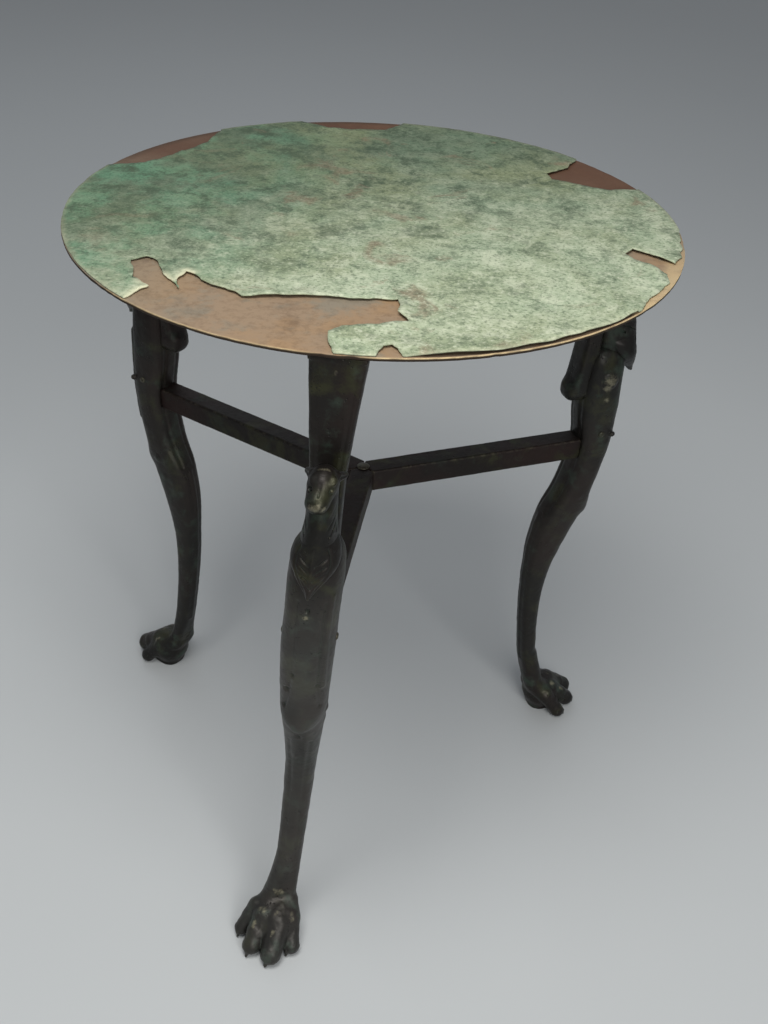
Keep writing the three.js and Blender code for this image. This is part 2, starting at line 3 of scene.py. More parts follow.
import itertools
import logging
import math
from dataclasses import dataclass, field
from enum import Enum
from functools import cached_property
from typing import ClassVar, Iterable, Protocol, Sequence, Union

import bpy
import numpy as np
from mathutils import Matrix, Vector, geometry


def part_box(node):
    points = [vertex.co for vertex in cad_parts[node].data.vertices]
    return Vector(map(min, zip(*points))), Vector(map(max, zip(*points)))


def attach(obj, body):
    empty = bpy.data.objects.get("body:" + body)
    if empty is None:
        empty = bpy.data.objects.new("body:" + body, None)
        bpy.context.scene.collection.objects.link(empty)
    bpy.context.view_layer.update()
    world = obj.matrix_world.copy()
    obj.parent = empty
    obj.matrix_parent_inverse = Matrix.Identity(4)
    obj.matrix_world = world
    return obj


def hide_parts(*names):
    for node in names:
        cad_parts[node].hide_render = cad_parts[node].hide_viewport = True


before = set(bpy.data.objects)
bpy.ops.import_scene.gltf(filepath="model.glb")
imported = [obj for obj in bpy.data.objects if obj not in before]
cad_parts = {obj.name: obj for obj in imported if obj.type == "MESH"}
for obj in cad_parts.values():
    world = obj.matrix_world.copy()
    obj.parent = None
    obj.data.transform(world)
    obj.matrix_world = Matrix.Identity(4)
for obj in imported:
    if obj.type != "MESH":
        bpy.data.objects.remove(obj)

LOG = logging.getLogger("bronze_table")
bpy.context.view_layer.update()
MM = 0.001
FAR = 1.0e3
BODY = "root"
Colour = tuple[float, float, float]
Point = tuple[float, float, float]
Arc = tuple[float, float, float, float]
Spot = tuple[Point, float]
Outline = tuple[tuple[float, float], ...]


class Slot(Enum):
    """The material slots of the record that the pieces take their finish from."""

    BRONZE = "dark_bronze"
    SHEET = "patinated_sheet"
    BOARD = "painted_board"


def linear(red: int, green: int, blue: int) -> Colour:
    """Turns a colour as it is seen, 0 to 255, into the linear colour that a shader takes."""
    shares = (value / 255 for value in (red, green, blue))
    return tuple(s / 12.92 if s <= 0.04045 else ((s + 0.055) / 1.055) ** 2.4 for s in shares)


# Materials


class Tone:
    """A number that changes over the surface, with Python's own operators.

    Args:
        bench: the material that the number belongs to.
        socket: the output socket that gives it.
    """

    def __init__(self, bench: "Bench", socket: bpy.types.NodeSocket) -> None:
        """Keeps the material and the socket."""
        self.bench = bench
        self.socket = socket

    def _math(self, operation: str, *terms: "Number", clamp: bool = False) -> "Tone":
        """Adds one Math node.

        Args:
            operation: the node's operation.
            terms: its inputs, in order.
            clamp: whether the result is held between 0 and 1.

        Returns:
            The node's result.
        """
        settings = {"operation": operation, "use_clamp": clamp}
        node = self.bench.add("ShaderNodeMath", settings, dict(enumerate(terms)))
        return Tone(self.bench, node.outputs[0])

    def __add__(self, other: "Number") -> "Tone":
        """Gives the sum."""
        return self._math("ADD", self, other)

    __radd__ = __add__

    def __sub__(self, other: "Number") -> "Tone":
        """Gives the difference."""
        return self._math("SUBTRACT", self, other)

    def __rsub__(self, other: "Number") -> "Tone":
        """Gives the difference from a plain number."""
        return self._math("SUBTRACT", other, self)

    def __mul__(self, other: "Number") -> "Tone":
        """Gives the product."""
        return self._math("MULTIPLY", self, other)

    __rmul__ = __mul__

    def most(self, other: "Number") -> "Tone":
        """Gives the greater of two numbers."""
        return self._math("MAXIMUM", self, other)

    def clamped(self) -> "Tone":
        """Holds the number between 0 and 1."""
        return self._math("ADD", self, 0.0, clamp=True)

    def step(self, low: float, high: float) -> "Tone":
        """Rises smoothly from 0 at low to 1 at high, or falls where low is above high.

        Args:
            low: where it is 0.
            high: where it is 1.

        Returns:
            The new number.
        """
        settings = {"interpolation_type": "SMOOTHSTEP"}
        turned = low > high
        ends = {"From Min": min(low, high), "From Max": max(low, high)}
        node = self.bench.add("ShaderNodeMapRange", settings, {"Value": self, **ends})
        rising = Tone(self.bench, node.outputs[0])
        return 1.0 - rising if turned else rising


Number = Union[Tone, float]
Input = Union[Tone, float, Sequence[float], bpy.types.NodeSocket]


class Bench:
    """Where the nodes of one material or world are put together.

    Args:
        owner: the material or world.
    """

    def __init__(self, owner: Union[bpy.types.Material, bpy.types.World]) -> None:
        """Clears the owner's nodes."""
        self.owner = owner
        owner.use_nodes = True
        self.tree = owner.node_tree
        self.tree.nodes.clear()

    @classmethod
    def of(cls, name: str) -> "Bench":
        """Starts a new material of that name."""
        return cls(bpy.data.materials.new(name))

    @cached_property
    def place(self) -> bpy.types.NodeSocket:
        """The place on the object, in metres."""
        return self.add("ShaderNodeTexCoord", {}, {}).outputs["Object"]

    def add(self, kind: str, settings: dict, inputs: dict) -> bpy.types.Node:
        """Adds any node: its settings first, then the values or links of its sockets.

        Args:
            kind: the node's type.
            settings: the node's properties by name.
            inputs: a value, a tone or a socket for each input, by name, identifier or number.

        Returns:
            The node.
        """
        node = self.tree.nodes.new(kind)
        for name, value in settings.items():
            setattr(node, name, value)
        for key, value in inputs.items():
            socket = self._socket(node, key)
            if isinstance(value, Tone):
                value = value.socket
            if isinstance(value, bpy.types.NodeSocket):
                self.tree.links.new(value, socket)
            elif socket.type == "RGBA":
                socket.default_value = (*value, 1.0)
            else:
                socket.default_value = value
        return node

    @staticmethod
    def _socket(node: bpy.types.Node, key: Union[str, int]) -> bpy.types.NodeSocket:
        """Finds an input by its identifier, its name or its number.

        Args:
            node: the node.
            key: which input is meant.

        Returns:
            The socket.
        """
        if isinstance(key, int):
            return node.inputs[key]
        for socket in node.inputs:
            if socket.identifier == key:
                return socket
        return node.inputs[key]

    def noise(self, scale: float, detail: float = 5.0, rough: float = 0.55, **more: Input) -> Tone:
        """Soft noise from 0 to 1 over the surface.

        Args:
            scale: how many features there are to a metre.
            detail: how many finer layers it has.
            rough: how strong the finer layers are.
            more: other inputs of the node.

        Returns:
            The noise as a tone.
        """
        inputs = {"Vector": self.place, "Scale": scale, "Detail": detail, "Roughness": rough}
        return Tone(self, self.add("ShaderNodeTexNoise", {}, inputs | more).outputs[0])

    def pits(self, scale: float) -> Tone:
        """The distance to the nearest of many scattered points, in the points' own spacing."""
        inputs = {"Vector": self.place, "Scale": scale}
        return Tone(self, self.add("ShaderNodeTexVoronoi", {}, inputs).outputs["Distance"])

    def blend(self, share: Number, first: Input, second: Input) -> bpy.types.NodeSocket:
        """Mixes two colours.

        Args:
            share: how much of the second colour shows.
            first: the first colour.
            second: the second colour.

        Returns:
            The mixed colour.
        """
        inputs = {"Factor_Float": share, "A_Color": first, "B_Color": second}
        node = self.add("ShaderNodeMix", {"data_type": "RGBA"}, inputs)
        return next(s for s in node.outputs if s.identifier == "Result_Color")

    def edge_and_hollow(self) -> tuple[Tone, Tone]:
        """Shares of how far a place is on an edge, and in a hollow."""
        shape = Tone(self, self.add("ShaderNodeNewGeometry", {}, {}).outputs["Pointiness"])
        return shape.step(0.505, 0.56), shape.step(0.495, 0.44)

    def up(self) -> Tone:
        """How far the surface faces up, from -1 to 1."""
        normal = self.add("ShaderNodeNewGeometry", {}, {}).outputs["Normal"]
        return Tone(self, self.add("ShaderNodeSeparateXYZ", {}, {"Vector": normal}).outputs["Z"])

    def axis(self, name: str) -> Tone:
        """One coordinate of the place, in metres."""
        parts = self.add("ShaderNodeSeparateXYZ", {}, {"Vector": self.place})
        return Tone(self, parts.outputs[name])

    def mark(self, name: str) -> Tone:
        """A number that the mesh carries at each of its points."""
        reader = self.add("ShaderNodeAttribute", {"attribute_name": name}, {})
        return Tone(self, reader.outputs["Fac"])

    def bump(self, height: Tone, distance: float, strength: float) -> bpy.types.NodeSocket:
        """Turns a height into a bent normal."""
        inputs = {"Height": height, "Distance": distance, "Strength": strength}
        return self.add("ShaderNodeBump", {}, inputs).outputs["Normal"]

    def finish(self, **inputs: Input) -> bpy.types.Material:
        """Closes the material with its shader.

        Args:
            inputs: a value for each of the shader's sockets, named with _ for each space.

        Returns:
            The finished material.
        """
        named = {name.replace("_", " "): value for name, value in inputs.items()}
        shader = self.add("ShaderNodeBsdfPrincipled", {}, named)
        self.add("ShaderNodeOutputMaterial", {}, {"Surface": shader.outputs[0]})
        return self.owner


@dataclass(frozen=True)
class DarkBronze:
    """Nearly black cast bronze: waxed, with olive and green in its hollows, bare edges, pale
    crusts, painted highlights on its high points, and painted light where the mesh is marked for
    it.
    """

    name: str
    metal: Colour = linear(31, 30, 28)
    brown: Colour = linear(42, 34, 31)
    olive: Colour = linear(54, 55, 36)
    green: Colour = linear(52, 70, 58)
    # Bare metal on edges, and the colour of the painted highlights
    worn: Colour = linear(148, 143, 120)
    # The pale grey of the painted light on the legs' lower parts
    dusty: Colour = linear(92, 92, 88)
    pit: Colour = linear(24, 22, 20)
    green_share: float = 0.45
    pit_scale: float = 330.0
    bump_height: float = 0.0009
    dull: float = 0.28

    def build(self) -> bpy.types.Material:
        """Makes the material.

        Returns:
            The material.
        """
        bench = Bench.of(self.name)
        broad = bench.noise(11.0, 4.0)
        patch = bench.noise(34.0, 6.0, 0.6, Distortion=0.4)
        grain = bench.noise(240.0, 8.0, 0.65)
        edge, hollow = bench.edge_and_hollow()
        thick = bench.noise(60.0, 3.0).step(0.5, 0.62)
        spots = bench.pits(self.pit_scale).step(0.34, 0.08) * thick
        # Metal, brown and olive in broad patches, green in the hollows, and painted light, a pale
        # grey, over them on the legs' lower parts
        colour = bench.blend(broad.step(0.38, 0.66), self.metal, self.brown)
        colour = bench.blend(patch.step(0.5, 0.7) * 0.8, colour, self.olive)
        lime = (bench.noise(52.0, 7.0, 0.62).step(0.52, 0.7) + hollow * 0.7) * self.green_share
        colour = bench.blend(lime.clamped(), colour, self.green)
        dust = bench.mark("dust") * (0.35 + patch * 0.9 - hollow * 0.6)
        colour = bench.blend(dust.clamped(), colour, self.dusty)
        # Bare metal on sharp edges; with a ragged edge, painted highlights (glints) and pale crusts
        # where the mesh is marked as rubbed
        glint_and_crust_mark = bench.mark("rubbed")
        ragged = bench.noise(240.0, 6.0, 0.7)
        rubbed = (glint_and_crust_mark + ragged * 3.0 - 1.7).step(0.05, 1.0) * glint_and_crust_mark.step(0.08, 0.6)
        touched = edge * grain.step(0.45, 0.7) * 0.2 + rubbed * 0.58
        colour = bench.blend(touched.clamped(), colour, self.worn)
        colour = bench.blend(spots * 0.6, colour, self.pit)
        rough = (self.dull + grain * 0.26 + lime.clamped() * 0.25).clamped()
        height = grain * 0.45 + patch * 0.55 - spots * 0.8
        return bench.finish(
            Base_Color=colour,
            Metallic=(0.55 - lime.clamped() * 0.45).clamped(),
            Roughness=rough,
            Specular_IOR_Level=0.35,
            Normal=bench.bump(height, self.bump_height, 0.55),
        )


@dataclass(frozen=True)
class GreenPatina:
    """The corroded upper sheet: pale grey-green crust with teal, olive and brown patches."""

    name: str
    ground: Colour = linear(170, 182, 154)
    # The darker colour of the painted shade at the back and on the left
    far: Colour = linear(84, 101, 81)
    pale: Colour = linear(202, 208, 184)
    teal: Colour = linear(92, 136, 108)
    olive: Colour = linear(126, 132, 96)
    brown: Colour = linear(122, 100, 82)
    deep: Colour = linear(62, 78, 60)
    lip: Colour = linear(206, 206, 176)

    def build(self) -> bpy.types.Material:
        """Makes the material.

        Returns:
            The material.
        """
        bench = Bench.of(self.name)
        broad = bench.noise(5.5, 5.0, 0.6, Distortion=0.6)
        cloud = bench.noise(17.0, 8.0, 0.66)
        mottle = bench.noise(58.0, 6.0, 0.64)
        crust = bench.noise(150.0, 5.0, 0.62)
        speck = bench.noise(420.0, 3.0, 0.55)
        # Painted light and shade: the crust is paler in front and on the right, and darker at the
        # back and on the left; the teal on the left is its own colour
        front = (bench.axis("Y") - bench.axis("X") * 0.5).step(0.2, -0.2)
        left = bench.axis("X").step(0.02, -0.2)
        shade = (1.0 - front) * 0.9 + left * 0.36
        colour = bench.blend(shade.clamped(), self.ground, self.far)
        colour = bench.blend(cloud.step(0.42, 0.6) * (0.14 + left * 0.55), colour, self.teal)
        colour = bench.blend(broad.step(0.46, 0.66) * (0.6 - left * 0.35), colour, self.olive)
        # Pale flecks show more in front, as painted light, and less on the left
        front_lit_pale = (0.08 + front * 0.42) * (1.0 - left * 0.55)
        colour = bench.blend(mottle.step(0.47, 0.64) * front_lit_pale, colour, self.pale)
        # Dark patches and dark mottling, stronger at the back as painted shade
        dark = bench.noise(27.0, 8.0, 0.74).step(0.5, 0.62)
        colour = bench.blend(dark * (0.85 - front * 0.5), colour, self.deep)
        colour = bench.blend(mottle.step(0.46, 0.34) * (0.6 - front * 0.3), colour, self.deep)
        rust = bench.noise(19.0, 6.0, 0.62, Distortion=0.8).step(0.58, 0.7)
        colour = bench.blend(rust * (0.6 - left * 0.35), colour, self.brown)
        # Fine crust and specks, pale and dark; the pale ones are stronger in front, as painted
        # light
        colour = bench.blend(crust.step(0.53, 0.7) * front_lit_pale, colour, self.pale)
        colour = bench.blend(crust.step(0.47, 0.34) * 0.4, colour, self.deep)
        colour = bench.blend(speck.step(0.46, 0.34) * 0.5, colour, self.deep)
        colour = bench.blend(speck.step(0.56, 0.68) * front_lit_pale, colour, self.pale)
        # The lip mark: a painted highlight on the flaps' curled lips, and a faint pale line along
        # the rim
        colour = bench.blend((bench.mark("lip") * (0.5 + mottle)).clamped(), colour, self.lip)
        height = crust * 0.5 + mottle * 0.8 + cloud * 0.5 + speck * 0.1
        return bench.finish(
            Base_Color=colour,
            Metallic=0.0,
            Roughness=(0.55 + crust * 0.3).clamped(),
            Specular_IOR_Level=0.22,
            Normal=bench.bump(height, 0.0013, 0.5),
        )


@dataclass(frozen=True)
class PaintedBoard:
    """The brown disc under the sheet, with a rubbed, straw-coloured edge."""

    name: str
    brown: Colour = linear(144, 124, 102)
    dark: Colour = linear(88, 70, 56)
    warm: Colour = linear(150, 124, 95)
    rust: Colour = linear(84, 56, 42)
    grey: Colour = linear(128, 122, 108)
    # The dark brown of the painted shade on the board's side and underside and under the sheet's
    # lifted rim
    grime: Colour = linear(52, 42, 33)
    straw: Colour = linear(206, 184, 142)

    def build(self) -> bpy.types.Material:
        """Makes the material.

        Returns:
            The material.
        """
        bench = Bench.of(self.name)
        cloud = bench.noise(14.0, 6.0, 0.6)
        smear = bench.noise(24.0, 6.0, 0.66)
        grain = bench.noise(170.0, 8.0, 0.7)
        # Grey towards the left, and reddish where the back of the board shows
        left = bench.axis("X").step(-0.06, -0.16)
        back = bench.axis("Y").step(0.0, 0.14)
        colour = bench.blend(cloud.step(0.44, 0.62), self.brown, self.warm)
        colour = bench.blend(smear.step(0.5, 0.66) * 0.8, colour, self.grey)
        colour = bench.blend(left * 0.55, colour, self.grey)
        colour = bench.blend(back * (0.7 + smear * 0.4), colour, self.rust)
        colour = bench.blend(grain.step(0.46, 0.64) * 0.25, colour, self.dark)
        stain = bench.noise(30.0, 8.0, 0.68).step(0.54, 0.72)
        colour = bench.blend(stain * 0.45, colour, self.dark)
        # Painted shade: darker on the side and underside, which face away from the light, and under
        # the sheet's lifted rim where the mesh is marked
        colour = bench.blend(bench.up().step(0.6, 0.2), colour, self.grime)
        colour = bench.blend(bench.mark("grime"), colour, self.grime)
        rubbed = bench.mark("lip") * (0.55 + bench.noise(60.0, 5.0, 0.6).step(0.36, 0.56) * 0.6)
        colour = bench.blend(rubbed.clamped(), colour, self.straw)
        return bench.finish(
            Base_Color=colour,
            Metallic=0.0,
            Roughness=(0.6 + grain * 0.25).clamped(),
            Specular_IOR_Level=0.2,
            Normal=bench.bump(grain + cloud * 0.4, 0.0005, 0.4),
        )


# Modelling clay


class Shape(Protocol):
    """Anything that clay can be given the shape of."""

    def reach(self) -> tuple[np.ndarray, np.ndarray]:
        """The lowest and highest corners of a box around it."""

    def distance(self, x: np.ndarray, y: np.ndarray, z: np.ndarray) -> np.ndarray:
        """The distance to its skin, negative inside."""


@dataclass(frozen=True)
class Rod:
    """A round rod with round ends, which may taper."""

    start: Point
    end: Point
    start_radius: float
    end_radius: float

    def reach(self) -> tuple[np.ndarray, np.ndarray]:
        """The lowest and highest corners of a box around it."""
        ends = np.array([self.start, self.end], float)
        most = max(self.start_radius, self.end_radius)
        return ends.min(0) - most, ends.max(0) + most

    def distance(self, x: np.ndarray, y: np.ndarray, z: np.ndarray) -> np.ndarray:
        """The distance to its skin, negative inside.

        Args:
            x: the places along x.
            y: along y.
            z: along z.

        Returns:
            Those distances, in the grid's shape.
        """
        a = np.array(self.start, float)
        way = np.array(self.end, float) - a
        share = ((x - a[0]) * way[0] + (y - a[1]) * way[1] + (z - a[2]) * way[2]) / (way @ way)
        share = np.clip(share, 0.0, 1.0)
        gap = [c - a[i] - share * way[i] for i, c in enumerate((x, y, z))]
        radius = self.start_radius + (self.end_radius - self.start_radius) * share
        return np.sqrt(gap[0] ** 2 + gap[1] ** 2 + gap[2] ** 2) - radius


@dataclass(frozen=True)
class Bead:
    """A round line through several places, with one radius."""

    places: tuple[Point, ...]
    radius: float

    def reach(self) -> tuple[np.ndarray, np.ndarray]:
        """The lowest and highest corners of a box around it."""
        places = np.array(self.places, float)
        return places.min(0) - self.radius, places.max(0) + self.radius

    def distance(self, x: np.ndarray, y: np.ndarray, z: np.ndarray) -> np.ndarray:
        """The distance to its skin, negative inside."""
        pairs = zip(self.places, self.places[1:])
        rods = [Rod(a, b, self.radius, self.radius).distance(x, y, z) for a, b in pairs]
        return np.minimum.reduce(rods)


@dataclass(frozen=True)
class Egg:
    """An ellipsoid, tilted about the side axis by some degrees."""

    centre: Point
    radii: Point
    tilt: float = 0.0

    def reach(self) -> tuple[np.ndarray, np.ndarray]:
        """The lowest and highest corners of a box around it."""
        most = max(self.radii)
        return np.array(self.centre) - most, np.array(self.centre) + most

    def distance(self, x: np.ndarray, y: np.ndarray, z: np.ndarray) -> np.ndarray:
        """About the distance to its skin, negative inside.

        Args:
            x: the places along x.
            y: along y.
            z: along z.

        Returns:
            Those distances, in the grid's shape.
        """
        dx, dy, dz = (c - o for c, o in zip((x, y, z), self.centre))
        cos, sin = math.cos(math.radians(self.tilt)), math.sin(math.radians(self.tilt))
        dx, dz = dx * cos - dz * sin, dz * cos + dx * sin
        a, b, c = self.radii
        whole = np.sqrt((dx / a) ** 2 + (dy / b) ** 2 + (dz / c) ** 2)
        slope = np.sqrt((dx / a**2) ** 2 + (dy / b**2) ** 2 + (dz / c**2) ** 2)
        return whole * (whole - 1.0) / np.maximum(slope, 1.0e-6)


@dataclass(frozen=True)
class Slab:
    """A box with rounded edges."""

    centre: Point
    half: Point
    rounding: float

    def reach(self) -> tuple[np.ndarray, np.ndarray]:
        """The lowest and highest corners of a box around it."""
        return np.array(self.centre) - self.half, np.array(self.centre) + self.half

    def distance(self, x: np.ndarray, y: np.ndarray, z: np.ndarray) -> np.ndarray:
        """The distance to its skin, negative inside.

        Args:
            x: the places along x.
            y: along y.
            z: along z.

        Returns:
            Those distances, in the grid's shape.
        """
        gaps = [
            np.abs(c - o) - h + self.rounding for c, o, h in zip((x, y, z), self.centre, self.half)
        ]
        outside = np.sqrt(sum(np.maximum(g, 0.0) ** 2 for g in gaps))
        inside = np.minimum(np.maximum(np.maximum(gaps[0], gaps[1]), gaps[2]), 0.0)
        return outside + inside - self.rounding


@dataclass(frozen=True)
class Side:
    """All the room behind a flat face, which stands at a point and looks along a way."""

    point: Point
    way: Point

    def reach(self) -> tuple[np.ndarray, np.ndarray]:
        """The lowest and highest corners of a box around it."""
        return np.full(3, -FAR), np.full(3, FAR)

    def distance(self, x: np.ndarray, y: np.ndarray, z: np.ndarray) -> np.ndarray:
        """The distance to the face, negative behind it."""
        unit = np.array(self.way, float) / np.linalg.norm(self.way)
        return sum((c - o) * u for c, o, u in zip((x, y, z), self.point, unit))


@dataclass(frozen=True)
class Column:
    """A column of level sections, each a superellipse.

    Attributes:
        height: the sections' heights, rising.
        reach_out: their distances from the table's axis.
        half_depth: half their sizes outward.
        half_width: half their sizes sideways.
        power: how square they are, 2 for an ellipse.
    """

    height: np.ndarray
    reach_out: np.ndarray
    half_depth: np.ndarray
    half_width: np.ndarray
    power: float

    def reach(self) -> tuple[np.ndarray, np.ndarray]:
        """The lowest and highest corners of a box around it.

        Returns:
            The two corners.
        """
        near = (self.reach_out - self.half_depth).min()
        far = (self.reach_out + self.half_depth).max()
        wide = self.half_width.max()
        low = np.array([near, -wide, self.height[0]])
        return low, np.array([far, wide, self.height[-1]])

    def distance(self, x: np.ndarray, y: np.ndarray, z: np.ndarray) -> np.ndarray:
        """About the distance to its skin, negative inside.

        Args:
            x: the places along x.
            y: along y.
            z: along z.

        Returns:
            Those distances, in the grid's shape.
        """
        middle = np.interp(z, self.height, self.reach_out)
        depth = np.interp(z, self.height, self.half_depth)
        width = np.interp(z, self.height, self.half_width)
        out = (np.abs(x - middle) / depth) ** self.power + (np.abs(y) / width) ** self.power
        level = (out ** (1.0 / self.power) - 1.0) * np.minimum(depth, width)
        ends = np.maximum(z - self.height[-1], self.height[0] - z)
        return np.maximum(level, ends)

    def grown(self, more: float) -> "Column":
        """The same column with a skin that stands further out."""
        return Column(
            self.height, self.reach_out, self.half_depth + more, self.half_width + more, self.power
        )


class Clay:
    """A block of clay on an even grid of distances to its skin, in millimetres.

    Args:
        axes: the grid's places along x, y and z.
        step: the grid's spacing.
    """

    def __init__(self, axes: Sequence[np.ndarray], step: float) -> None:
        """Starts with no clay anywhere."""
        self.step = step
        self.axes = axes
        self.field = np.full([len(axis) for axis in axes], FAR, np.float32)

    @classmethod
    def block(cls, low: Sequence[float], high: Sequence[float], step: float) -> "Clay":
        """Starts an empty grid between two corners, with that spacing."""
        return cls([np.arange(a - 2 * step, b + 3 * step, step) for a, b in zip(low, high)], step)

    def blank(self) -> "Clay":
        """Starts an empty grid of the same size."""
        return Clay(self.axes, self.step)

    def copy(self) -> "Clay":
        """Gives a second block of the same form."""
        other = self.blank()
        other.field = self.field.copy()
        return other

    def join(self, other: "Clay", soft: float = 0.0) -> None:
        """Presses on the clay of another block on the same grid, with a fillet of that size."""
        self.field = self._nearer(self.field, other.field, soft).astype(np.float32)

    def _room(self, shape: Shape, margin: float) -> tuple[tuple[slice, ...], np.ndarray]:
        """Finds the part of the grid near a shape.

        Args:
            shape: the shape.
            margin: how far around it.

        Returns:
            The grid's slices, and the shape's distances there.
        """
        low, high = shape.reach()
        spans = []
        for axis, lowest, highest in zip(self.axes, low - margin, high + margin):
            spans.append(slice(*np.searchsorted(axis, (lowest, highest))))
        x, y, z = (axis[span] for axis, span in zip(self.axes, spans))
        return tuple(spans), shape.distance(x[:, None, None], y[None, :, None], z[None, None, :])

    @staticmethod
    def _nearer(first: np.ndarray, second: np.ndarray, soft: float) -> np.ndarray:
        """Takes the lesser distance, with a rounded inner corner of that size.

        Args:
            first: one distance.
            second: the other.
            soft: the corner's size.

        Returns:
            The distance to both together.
        """
        if soft <= 0:
            return np.minimum(first, second)
        share = np.clip(0.5 + 0.5 * (first - second) / soft, 0.0, 1.0)
        return first * (1 - share) + second * share - soft * share * (1 - share)

    def add(self, shape: Shape, soft: float = 0.0) -> None:
        """Presses a shape on, with a fillet of that size."""
        spans, new = self._room(shape, 2 * soft + 3 * self.step)
        self.field[spans] = self._nearer(self.field[spans], new, soft)

    def cut(self, shape: Shape, soft: float = 0.0) -> None:
        """Cuts a shape out, with a rounded edge of that size."""
        spans, new = self._room(shape, 2 * soft + 3 * self.step)
        self.field[spans] = -self._nearer(-self.field[spans], new, soft)

    def keep(self, shape: Shape, soft: float = 0.0) -> None:
        """Cuts away all that is outside a shape, with a rounded edge of that size."""
        x, y, z = self.axes
        new = shape.distance(x[:, None, None], y[None, :, None], z[None, None, :])
        self.field = -self._nearer(-self.field, -new, soft).astype(np.float32)

    def skin(self) -> tuple[np.ndarray, np.ndarray]:
        """Wraps the clay in a closed mesh of four-sided faces.

        Returns:
            The points, in millimetres, and the faces.
        """
        field = self.field
        inside = field < 0
        sizes = np.array(field.shape) - 1
        steps = list(itertools.product((0, 1), repeat=3))
        corners = [inside[tuple(slice(s, s + n) for s, n in zip(c, sizes))] for c in steps]
        count = np.sum(corners, axis=0)
        cells = np.argwhere((count > 0) & (count < 8))
        number = np.full(sizes, -1, np.int64)
        number[tuple(cells.T)] = np.arange(len(cells))
        total = np.zeros((len(cells), 3))
        hits = np.zeros(len(cells))
        for first in steps:
            for axis in range(3):
                if first[axis]:
                    continue
                near = cells + first
                far = near.copy()
                far[:, axis] += 1
                a, b = field[tuple(near.T)], field[tuple(far.T)]
                crossed = (a < 0) != (b < 0)
                share = a[crossed] / (a[crossed] - b[crossed])
                place = near[crossed].astype(float)
                place[:, axis] += share
                total[crossed] += place
                hits[crossed] += 1
        origin = np.array([axis[0] for axis in self.axes])
        points = origin + total / hits[:, None] * self.step
        faces = []
        for axis in range(3):
            one, two = np.eye(3, dtype=int)[[(axis + 1) % 3, (axis + 2) % 3]]
            lower = np.take(inside, range(sizes[axis]), axis)
            upper = np.take(inside, range(1, sizes[axis] + 1), axis)
            edges = np.argwhere(lower != upper)
            leaves = lower[tuple(edges.T)]
            ring = [edges - one - two, edges - two, edges, edges - one]
            quads = np.stack([number[tuple(c.T)] for c in ring], axis=1)
            faces.append(np.where(leaves[:, None], quads, quads[:, ::-1]))
        return points, np.concatenate(faces)


class Grain:
    """Soft three-dimensional noise from a seeded lattice, from -1 to 1.

    Args:
        seed: the lattice's seed.
    """

    SIZE = 32

    def __init__(self, seed: int) -> None:
        """Draws the lattice."""
        self.lattice = np.random.default_rng(seed).uniform(-1, 1, (self.SIZE,) * 3)

    def at(self, points: np.ndarray, spacing: float, layers: int = 1) -> np.ndarray:
        """Reads the noise.

        Args:
            points: the places, one to a row.
            spacing: the distance between the lattice's points there.
            layers: how many layers are added, each half as wide and half as strong.

        Returns:
            The noise at each place.
        """
        total = np.zeros(len(points))
        for layer in range(layers):
            place = points * 2**layer / spacing + 7.3 * layer
            cell = np.floor(place).astype(int)
            share = place - cell
            share = share * share * (3 - 2 * share)
            value = np.zeros(len(points))
            for corner in itertools.product((0, 1), repeat=3):
                weight = np.prod(np.where(corner, share, 1 - share), axis=1)
                value += weight * self.lattice[tuple(((cell + corner) % self.SIZE).T)]
            total += value / 2**layer
        return total


def outward(points: np.ndarray, faces: np.ndarray) -> np.ndarray:
    """Gives the outward way at each point of a mesh of four-sided faces.

    Args:
        points: its points.
        faces: its faces.

    Returns:
        One unit vector for each point.
    """
    first, second, third, fourth = (points[faces[:, corner]] for corner in range(4))
    across = np.cross(third - first, fourth - second)
    ways = np.zeros_like(points)
    for corner in range(4):
        np.add.at(ways, faces[:, corner], across)
    return ways / np.maximum(np.linalg.norm(ways, axis=1, keepdims=True), 1.0e-9)


def put_mesh(name: str, points: np.ndarray, faces: Iterable[Sequence[int]]) -> bpy.types.Object:
    """Makes a smooth-shaded object of points in metres.

    Args:
        name: the object's name.
        points: its points.
        faces: its faces.

    Returns:
        The object.
    """
    mesh = bpy.data.meshes.new(name)
    mesh.from_pydata(points.tolist(), [], faces if isinstance(faces, list) else faces.tolist())
    mesh.validate()
    mesh.shade_smooth()
    piece = bpy.data.objects.new(name, mesh)
    bpy.context.scene.collection.objects.link(piece)
    return piece


def paint(piece: bpy.types.Object, name: str, values: np.ndarray) -> None:
    """Writes a number at each point of a piece's mesh, for its material to read."""
    mark = piece.data.attributes.new(name, "FLOAT", "POINT")
    mark.data.foreach_set("value", np.asarray(values, np.float32))


def ramp(value: np.ndarray, low: float, high: float) -> np.ndarray:
    """Rises evenly from 0 at low to 1 at high, or falls where low is above high."""
    return np.clip((value - low) / (high - low), 0, 1)


def span(value: np.ndarray, arc: Arc) -> np.ndarray:
    """Rises from 0 to 1 over an arc's first two values, and falls back over its last two."""
    low, full, fading, high = arc
    return ramp(value, low, full) * ramp(value, high, fading)


def azimuth_of(points: np.ndarray) -> np.ndarray:
    """Gives the azimuth of each point about the axis, in degrees."""
    return np.degrees(np.arctan2(points[:, 1], points[:, 0]))


def dress(
    piece: bpy.types.Object, material: bpy.types.Material, slot: Slot, *nodes: str
) -> bpy.types.Object:
    """Gives a piece its finish and its place in the frame.

    Args:
        piece: the piece.
        material: its material.
        slot: the record's slot of that finish; not used.
        nodes: the solids that it stands for.

    Returns:
        The piece.
    """
    piece.data.materials.clear()
    piece.data.materials.append(material)
    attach(piece, BODY)
    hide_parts(*nodes)
    return piece


# The leg's own frame

DISC_LOW, DISC_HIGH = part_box("backing_disc")
AXIS = (DISC_LOW + DISC_HIGH) / 2 / MM
JOINT_HEIGHT = 342.0
FIT_GAP = 0.3
